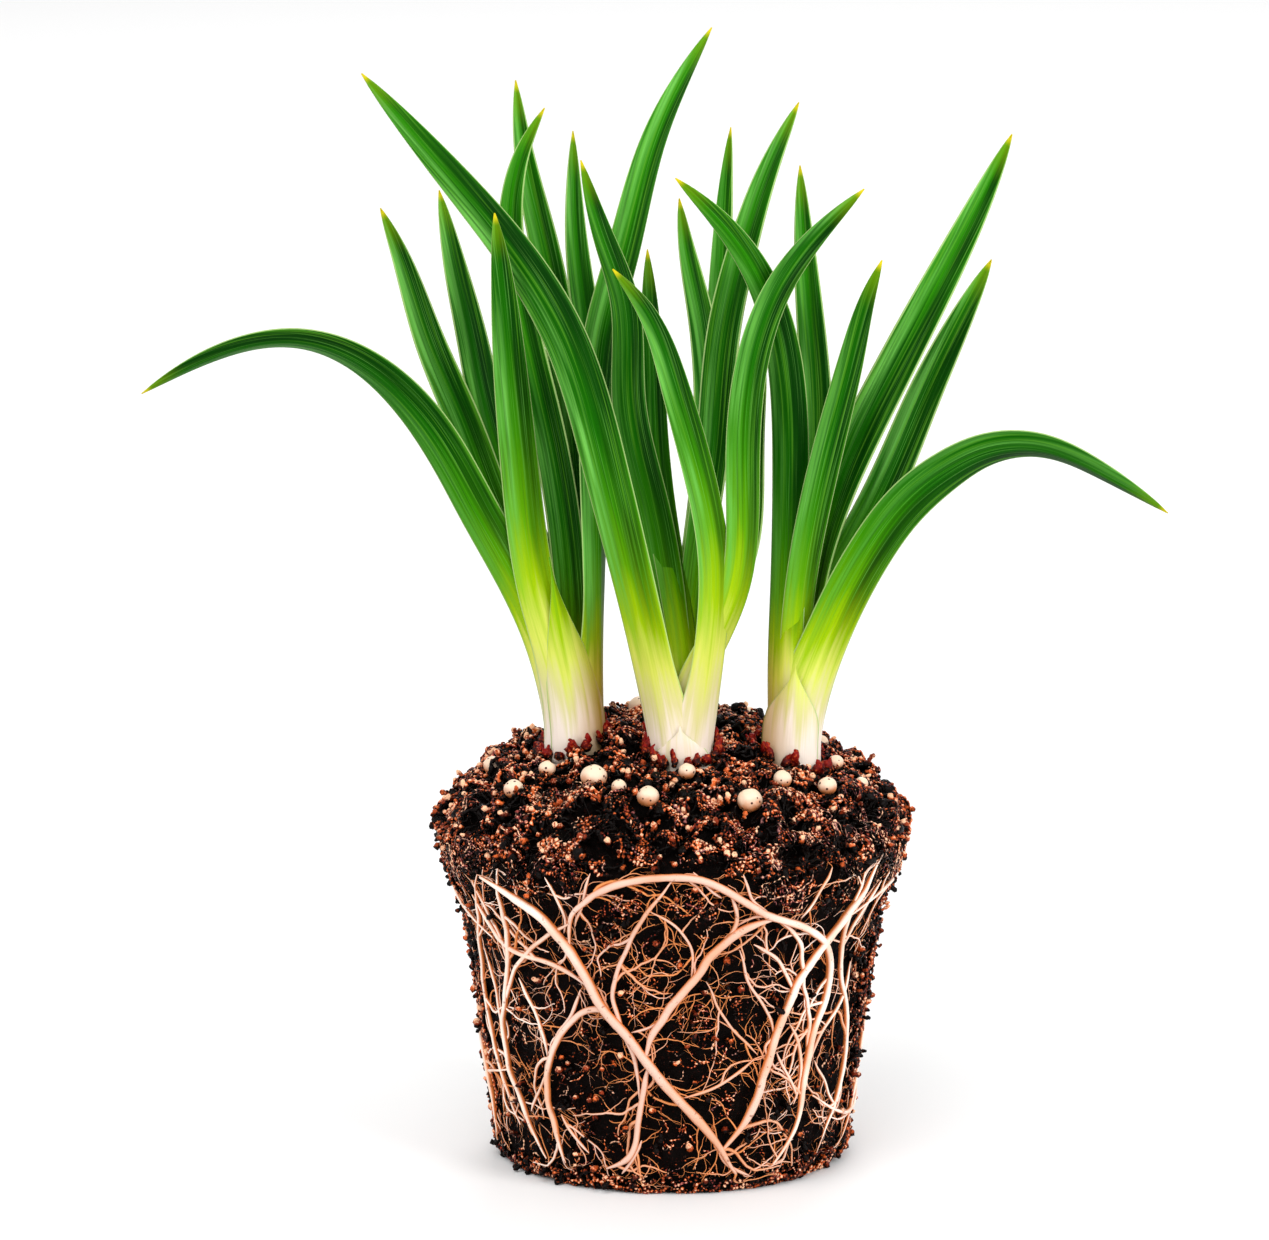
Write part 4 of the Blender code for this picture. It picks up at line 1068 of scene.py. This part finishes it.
def add_side_roots(draws, bearing, kind, material):
    """Side roots of one size, as a piece. Gives back their points, for finer ones to fork from."""
    forks = spread(draws, bearing, kind)
    count = len(forks)
    side = draws.choice([-1, 1], count)
    backwards = np.where(draws.uniform(0, 1, count) < BACKWARDS_SHARE, math.pi, 0.0)
    headings = forks[:, 2] + backwards + side * draws.uniform(*FORK_ANGLE, count)
    curls = -side * draws.normal(0.018, 0.04, count)
    lines = wandering(draws, forks[:, :2], headings, curls, kind)
    share = np.linspace(0, 1, kind.rings)
    sway = kind.lift * (0.75 + 0.3 * np.sin(share * 7 + forks[:, :1]))
    lift = sway + (forks[:, 3:4] - sway) * (1 - smooth_step(0, 4.5 / kind.rings, share))
    level = around(lines[..., 0])
    places = level * (wall_radius(lines[..., 1]) + lift)[..., None]
    places[..., 2] = lines[..., 1]
    start = np.minimum(draws.uniform(*kind.radius, count), forks[:, 4] * 0.8)
    radii = start[:, None] * (1 - 0.65 * share)
    points, faces, crest = tubes(places, level, radii, kind.sides)
    middle_tan = MIDDLE_TAN * (abs(forks[:, :1]) < MIDDLE_ARC)
    tan = np.clip(draws.normal(kind.tan, 0.35, (count, 1)) + middle_tan, 0, 1) + np.zeros(points.shape[:2])
    lone_piece(kind.name, points, faces, material, "root",
               crest=crest.ravel(), tint=tan.ravel(), middle=middle_share(points))
    return np.concatenate([lines, lift[..., None], radii[..., None]], axis=-1)[:, 2:].reshape(-1, 5)


def build_roots(material):
    """The main roots on the wall, and ever finer side roots that fork from them. Gives the main lines."""
    rng = random.Random(SEED)
    roots = [*FRONT_ROOTS, *FINE_ROOTS, *CIRCLING_ROOTS, *back_roots(rng)]
    heap = Heap()
    lines = []
    bearing = []
    for root in roots:
        line, radii = root_line(root)
        radii = radii * ROOT_SLIM
        outs = unit(line * np.array([1, 1, 0]))
        points, faces, crest = tubes(line[None], outs[None], radii[None], ROOT_SIDES)
        heap.add(points, faces, crest=crest.ravel(), tint=0.05, middle=middle_share(points))
        lines.append((line, radii))
        turn = np.degrees(np.unwrap(np.arctan2(line[:, 0], -line[:, 1])))
        sideways = np.gradient(np.radians(turn)) * wall_radius(line[:, 2])
        heading = np.arctan2(sideways, np.gradient(line[:, 2]))
        off = np.full(len(line), GAP + root.diameter / 2)
        bearing.append(np.column_stack([turn, line[:, 2], heading, off, radii]))
    heap.piece("root_net_main", material, "root", ["root_net"])
    draws = np.random.default_rng(SEED)
    bearing = np.concatenate(bearing)
    for kind in SIDE_ROOTS:
        bearing = np.concatenate([bearing, add_side_roots(draws, bearing, kind, material)])
    return lines


def root_chart(lines):
    """A chart of the wall that is True where a main root lies."""
    chart = np.zeros((360, CHART_ROWS), bool)
    for line, radii in lines:
        turns = np.degrees(np.arctan2(line[:, 0], -line[:, 1]))
        for turn, height, reach in zip(turns, line[:, 2], radii + ROOT_BERTH):
            if BURIED_ARC[0] < abs(turn) < BURIED_ARC[1]:
                continue
            span = reach / DEGREE_LONG
            columns = np.arange(math.floor(turn - span), math.ceil(turn + span) + 1) % 360
            low, high = int(ROWS_TO_MM * (height - reach)), int(ROWS_TO_MM * (height + reach))
            chart[np.ix_(columns, np.arange(low, high + 1).clip(0, CHART_ROWS - 1))] = True
    return chart


def clear_of_roots(points, chart):
    """True for each line of points that keeps clear of every main root."""
    columns = np.round(np.degrees(np.arctan2(points[..., 0], -points[..., 1]))).astype(int) % 360
    rows = (ROWS_TO_MM * points[..., 2]).astype(int).clip(0, CHART_ROWS - 1)
    return ~chart[columns, rows].any(-1)


def off_the_floor(points, least=0.0):
    """The same points, none of them lower than least."""
    points[..., 2] = np.maximum(points[..., 2], least)
    return points


def build_core(material):
    """The soil under its crumbs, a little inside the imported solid's outline."""
    run = np.arange(0.4, OUTLINE_RUN[-1] - 0.3, CORE_STEP)
    turn = np.linspace(0, 360, CORE_TURNS, endpoint=False)
    turns, runs = np.meshgrid(turn, run)
    points, outs = soil_place(turns, runs)
    flat = points[..., 2] < 1.0
    lift = lumps(points) + 0.5 * waves(points, 1.9, 5) - CORE_SUNK - PIT_DEPTH * pits(points)
    points = off_the_floor(points + outs * np.where(flat, 0.0, lift)[..., None])
    faces = ring_faces(len(run), CORE_TURNS)
    lone_piece("soil_body", with_ends(points[::-1]), faces, material, "soil", ["soil"])


def clear_of_stems(points):
    """True for each line of points that keeps clear of every stem."""
    clear = np.ones(len(points), bool)
    for stem in STEMS:
        reach = np.hypot(points[..., 0] - stem.x, points[..., 1] - stem.y)
        clear &= ((points[..., 2] <= RIM_HEIGHT) | (reach > STEM_BERTH)).all(-1)
    return clear


def clear_of_beads(points, beads):
    """True for each line of points that keeps clear of every feed bead."""
    clear = np.ones(len(points), bool)
    for centre, radius in beads:
        clear &= (np.linalg.norm(points - centre, axis=-1) > radius + BEAD_BERTH).all(-1)
    return clear


def scattered(draws, count, runs, arc=ALL_ROUND):
    """Places at random over the soil between two distances down its outline, evenly by area."""
    fine = np.linspace(*runs, 400)
    weight = np.cumsum(outline_at(fine)[:, 0] + 1.0)
    turn = draws.uniform(*arc, count) * draws.choice([-1, 1], count)
    return turn, np.interp(draws.uniform(0, 1, count) * weight[-1], weight, fine)


def first_of(keep, count):
    """Only the first count of the places that may be kept."""
    return keep & (np.cumsum(keep) <= count)


def under_crumbs(points, pit):
    """How far the ground that crumbs lie on stands out."""
    return lumps(points) - PIT_FOLLOWED * PIT_DEPTH * pit


def beaded(rings, waist):
    """Shares of a chain's radius, ring by ring: a grain, a waist, and so on."""
    return np.where(np.arange(rings) % 2 == 1, 1.0, waist)


def tints_of(draws, kind, shape):
    """One colour share for each solid, given to all its points."""
    return draws.uniform(*kind.tints, (shape[0], 1)) + np.zeros(shape)


def chain_mesh(draws, kind, keeps_clear):
    """Chains of grains that lie on the soil, with how brightly each point is painted lit and each chain's
    colour.
    """
    tries = 3 * kind.count
    turn, run = scattered(draws, tries, kind.runs, kind.arc)
    heading = draws.uniform(0, math.tau, tries)
    turns, places = [], []
    for _ in range(kind.rings):
        turns.append(turn)
        places.append(run)
        heading = heading + draws.normal(0, 0.5, tries)
        turn = turn + np.degrees(kind.spacing * np.sin(heading) / np.maximum(outline_at(run)[:, 0], 4.0))
        run = np.clip(run + kind.spacing * np.cos(heading), 0.5, kind.runs[1])
    points, outs = soil_place(np.stack(turns, 1), np.stack(places, 1))
    pit = pits(points)
    keep = first_of(keeps_clear(points) & (pit.mean(1) < draws.uniform(0.1, 0.8, tries)), kind.count)
    points, outs, pit = points[keep], outs[keep], pit[keep]
    off = draws.uniform(*kind.lift, (len(points), 1)) + draws.uniform(-0.1, 0.1, pit.shape)
    lines = points + outs * (under_crumbs(points, pit) + off)[..., None]
    beading = beaded(kind.rings, 0.58) * draws.uniform(0.8, 1.2, pit.shape)
    radii = draws.uniform(*kind.radius, (len(points), 1)) * beading
    lines = off_the_floor(lines, radii + FLOOR_GAP)
    made, faces, crest = tubes(lines, unit(outs + LIT_FROM), radii, kind.sides)
    raised = 0.3 * (off - kind.lift[0]) / (kind.lift[1] - kind.lift[0])
    # Painted light: grains brighter than their waists, raised chains brighter, pits in painted shade, and
    # the side that faces LIT_FROM lighter
    depth = 0.1 + 0.5 * beading + raised - PIT_PAINTED_SHADE * pit
    ends = np.zeros((len(points), 2))
    proud = np.concatenate([np.repeat(depth, kind.sides, axis=1), ends], axis=1) + 0.25 * crest
    return off_the_floor(made), faces, proud, tints_of(draws, kind, proud.shape)


def grain_mesh(draws, kind, keeps_clear):
    """Single rough grains, each a ball pushed in and out."""
    ball, faces = round_ball(2)
    turn, run = scattered(draws, 2 * kind.count, kind.runs, kind.arc)
    points, outs = soil_place(turn, run)
    pit = pits(points)
    keep = first_of(keeps_clear(points[:, None]) & (pit < draws.uniform(0.2, 0.9, len(pit))), kind.count)
    points, outs, pit = points[keep], outs[keep], pit[keep]
    size = draws.uniform(*kind.radius, len(points))
    off = under_crumbs(points, pit) + draws.uniform(*kind.lift, len(points)) * size
    centres = points + outs * off[:, None]
    rough = 1 + draws.uniform(-0.24, 0.24, (len(centres), len(ball)))
    stretch = draws.uniform(0.75, 1.25, (len(centres), 1, 3))
    made = centres[:, None] + ball[None] * rough[..., None] * stretch * size[:, None, None]
    lit = (ball[None] * unit(outs + LIT_FROM)[:, None]).sum(-1)
    # Painted light: lighter on the side that faces LIT_FROM, darker in painted shade in the pits
    proud = 0.43 + 0.4 * lit + (rough - 1) - PIT_PAINTED_SHADE * pit[:, None]
    all_faces = repeated(faces, len(centres), len(ball))
    return off_the_floor(made), all_faces, proud, tints_of(draws, kind, proud.shape)


def spur_mesh(draws, kind, keeps_clear):
    """Knobbly stubs that stand out from the soil, each a chain of grains that leans its own way."""
    turn, run = scattered(draws, 3 * kind.count, kind.runs, kind.arc)
    foot, outs = soil_place(turn, run)
    keep = first_of(keeps_clear(np.stack([foot, foot + 2.5 * outs], axis=1)), kind.count)
    foot, outs = foot[keep], outs[keep]
    foot = foot + outs * (lumps(foot) - 0.6)[:, None]
    count = len(foot)
    ways = unit(outs + draws.normal(0, 0.4, (count, 3)))
    share = np.linspace(0, 1, SPUR_RINGS)[None, :, None]
    lines = foot[:, None] + ways[:, None] * share * draws.uniform(*kind.lengths, (count, 1, 1))
    lines = lines + draws.normal(0, 0.12, lines.shape)
    beading = beaded(SPUR_RINGS, 0.66) * draws.uniform(0.8, 1.25, (count, SPUR_RINGS))
    radii = draws.uniform(*kind.radii, (count, 1)) * beading
    lines = off_the_floor(lines, radii)
    facing = np.repeat(unit(np.cross(ways, [0.3, 0.2, 1.0]))[:, None], SPUR_RINGS, axis=1)
    made, faces, _ = tubes(lines, facing, radii, SPUR_SIDES)
    made = off_the_floor(made + draws.normal(0, 0.05, made.shape))
    tip = np.append(np.repeat(share.ravel(), SPUR_SIDES), [0, 1])
    above = np.clip(made[..., 2] - foot[:, None, 2], -1, 1)
    knobs = np.append(np.repeat(beading.mean(0), SPUR_SIDES), [0, 0])
    # Painted light: lighter towards the tips and upper sides, in painted shade towards the foot
    proud = 0.45 + 0.35 * tip + 0.2 * above + 0.15 * knobs
    return made, faces, proud, tints_of(draws, kind, proud.shape)


def build_crumbs(material, beads, chart):
    """The crumbs that cover the soil, clear of the stems, the feed beads and the main roots."""
    draws = np.random.default_rng(SEED + 1)

    def keeps_clear(points):
        clear = clear_of_stems(points) & clear_of_beads(points, beads)
        return clear & clear_of_roots(points, chart)

    for kinds, mesh_of in ((CHAINS, chain_mesh), (GRAINS, grain_mesh), (SPURS, spur_mesh)):
        for kind in kinds:
            points, faces, proud, tint = mesh_of(draws, kind, keeps_clear)
            lone_piece(kind.name, points, faces, material, "soil", proud=proud.ravel(), tint=tint.ravel())


def build_base_scales(material):
    """Rough pointed dark red scales that ring the foot of each stem."""
    draws = np.random.default_rng(SEED + 2)
    heap = Heap()
    rings = len(SCALE_OUTLINE)
    for stem in STEMS:
        turn = np.linspace(-180, 180, SCALES, endpoint=False) + draws.uniform(-7, 7, SCALES)
        level = around(turn)
        foot = np.array([stem.x, stem.y, 0.0]) + level * draws.uniform(*SCALE_RING, (SCALES, 1))
        ground = np.interp(np.hypot(foot[:, 0], foot[:, 1] - 4.0), OUTLINE[:8, 0], OUTLINE[:8, 1])
        foot[:, 2] = ground - 0.3
        tall = draws.uniform(*SCALE_HEIGHTS, SCALES)
        lean = level * draws.uniform(-0.6, 1.0, SCALES)[:, None] + draws.normal(0, 0.7, (SCALES, 3))
        share = np.linspace(0, 1, rings)[None, :, None]
        lines = foot[:, None] + share * (lean[:, None] + tall[:, None, None] * np.array([0, 0, 1.0]))
        lines = lines + draws.normal(0, 0.16, lines.shape)
        rough = draws.uniform(0.75, 1.25, (SCALES, rings))
        radii = draws.uniform(0.9, 1.3, (SCALES, 1)) * SCALE_OUTLINE * rough
        points, faces, _ = tubes(lines, np.repeat(level[:, None], rings, 1), radii, SCALE_SIDES)
        points = points + draws.normal(0, 0.09, points.shape)
        # Painted light: each scale in painted shade at its foot and lighter towards its point
        rise = np.append(np.repeat(np.linspace(0.2, 1, rings), SCALE_SIDES), [0, 1])
        heap.add(points, faces, proud=np.tile(rise, SCALES))
    heap.piece("base_scales", material, "soil")


def bead_places():
    """Each feed bead's node name, centre and radius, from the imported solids."""
    found = []
    for name in sorted(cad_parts):
        if name.startswith("feed_bead_"):
            low, high = (np.array(corner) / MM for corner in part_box(name))
            found.append((name, (low + high) / 2, float((high - low).max()) / 2))
    return found


def build_beads(beads, material):
    """Feed beads, each a slightly uneven ball."""
    ball, faces = round_ball(4)
    for name, centre, radius in beads:
        uneven = 1 + 0.035 * waves(ball * 3 + centre, 3.0, 11) - 0.03
        points = centre + ball * uneven[:, None] * radius * BEAD_SQUASH
        clay = name.replace("feed", "clay_feed")
        lone_piece(clay, points, faces, material, "feed_bead", [name], crest=ball[:, 2])


def add_light(name, place, size, power):
    """A square soft light that faces the middle of the clump."""
    lamp = bpy.data.lights.new(name, "AREA")
    lamp.size = size
    lamp.energy = power
    light = bpy.data.objects.new(name, lamp)
    light.location = place
    light.rotation_euler = (Vector(LIT_MIDDLE) - Vector(place)).to_track_quat("-Z", "Y").to_euler()
    bpy.context.scene.collection.objects.link(light)


def add_camera():
    """The camera, at its distance from the view's middle and tilted down to it."""
    camera = bpy.data.cameras.new("camera")
    camera.sensor_width = SENSOR_WIDTH
    camera.lens = SENSOR_WIDTH * VIEW_DISTANCE / VIEW_WIDTH
    camera.clip_start, camera.clip_end = 0.1, 20
    eye = bpy.data.objects.new("camera", camera)
    rise = math.radians(VIEW_RISE)
    away = Vector((0, -math.cos(rise), math.sin(rise))) * VIEW_DISTANCE
    eye.location = (Vector(VIEW_TARGET) + away) * MM
    eye.rotation_euler = (math.pi / 2 - rise, 0, 0)
    bpy.context.scene.collection.objects.link(eye)
    bpy.context.scene.camera = eye


def build_stage():
    """A plain pale floor, soft studio light and the camera."""
    bpy.ops.mesh.primitive_plane_add(size=FLOOR_SIZE, location=(0, 0, 0))
    floor = bpy.context.object
    floor.name = "studio_floor"
    floor.data.materials.append(Finish("studio_floor").surface(paint(FLOOR_WHITE), 0.9))

    world = bpy.data.worlds.new("studio")
    world.use_nodes = True
    sky = world.node_tree.nodes["Background"]
    sky.inputs["Color"].default_value = (1, 1, 1, 1)
    sky.inputs["Strength"].default_value = SKY_STRENGTH
    bpy.context.scene.world = world
    for name, (place, size, power) in LIGHTS.items():
        add_light(name, place, size, power)
    add_camera()
    bpy.context.scene.view_settings.view_transform = "Standard"


def main():
    """Every piece of the clump, then the stage that it stands on."""
    leaf = leaf_finish()
    for stem in STEMS:
        build_shoot(stem, leaf)
    lines = build_roots(root_finish())
    build_core(soil_core_finish())
    beads = bead_places()
    build_crumbs(crumb_finish(), [(centre, radius) for _, centre, radius in beads], root_chart(lines))
    build_base_scales(scale_finish())
    build_beads(beads, bead_finish())
    build_stage()


main()
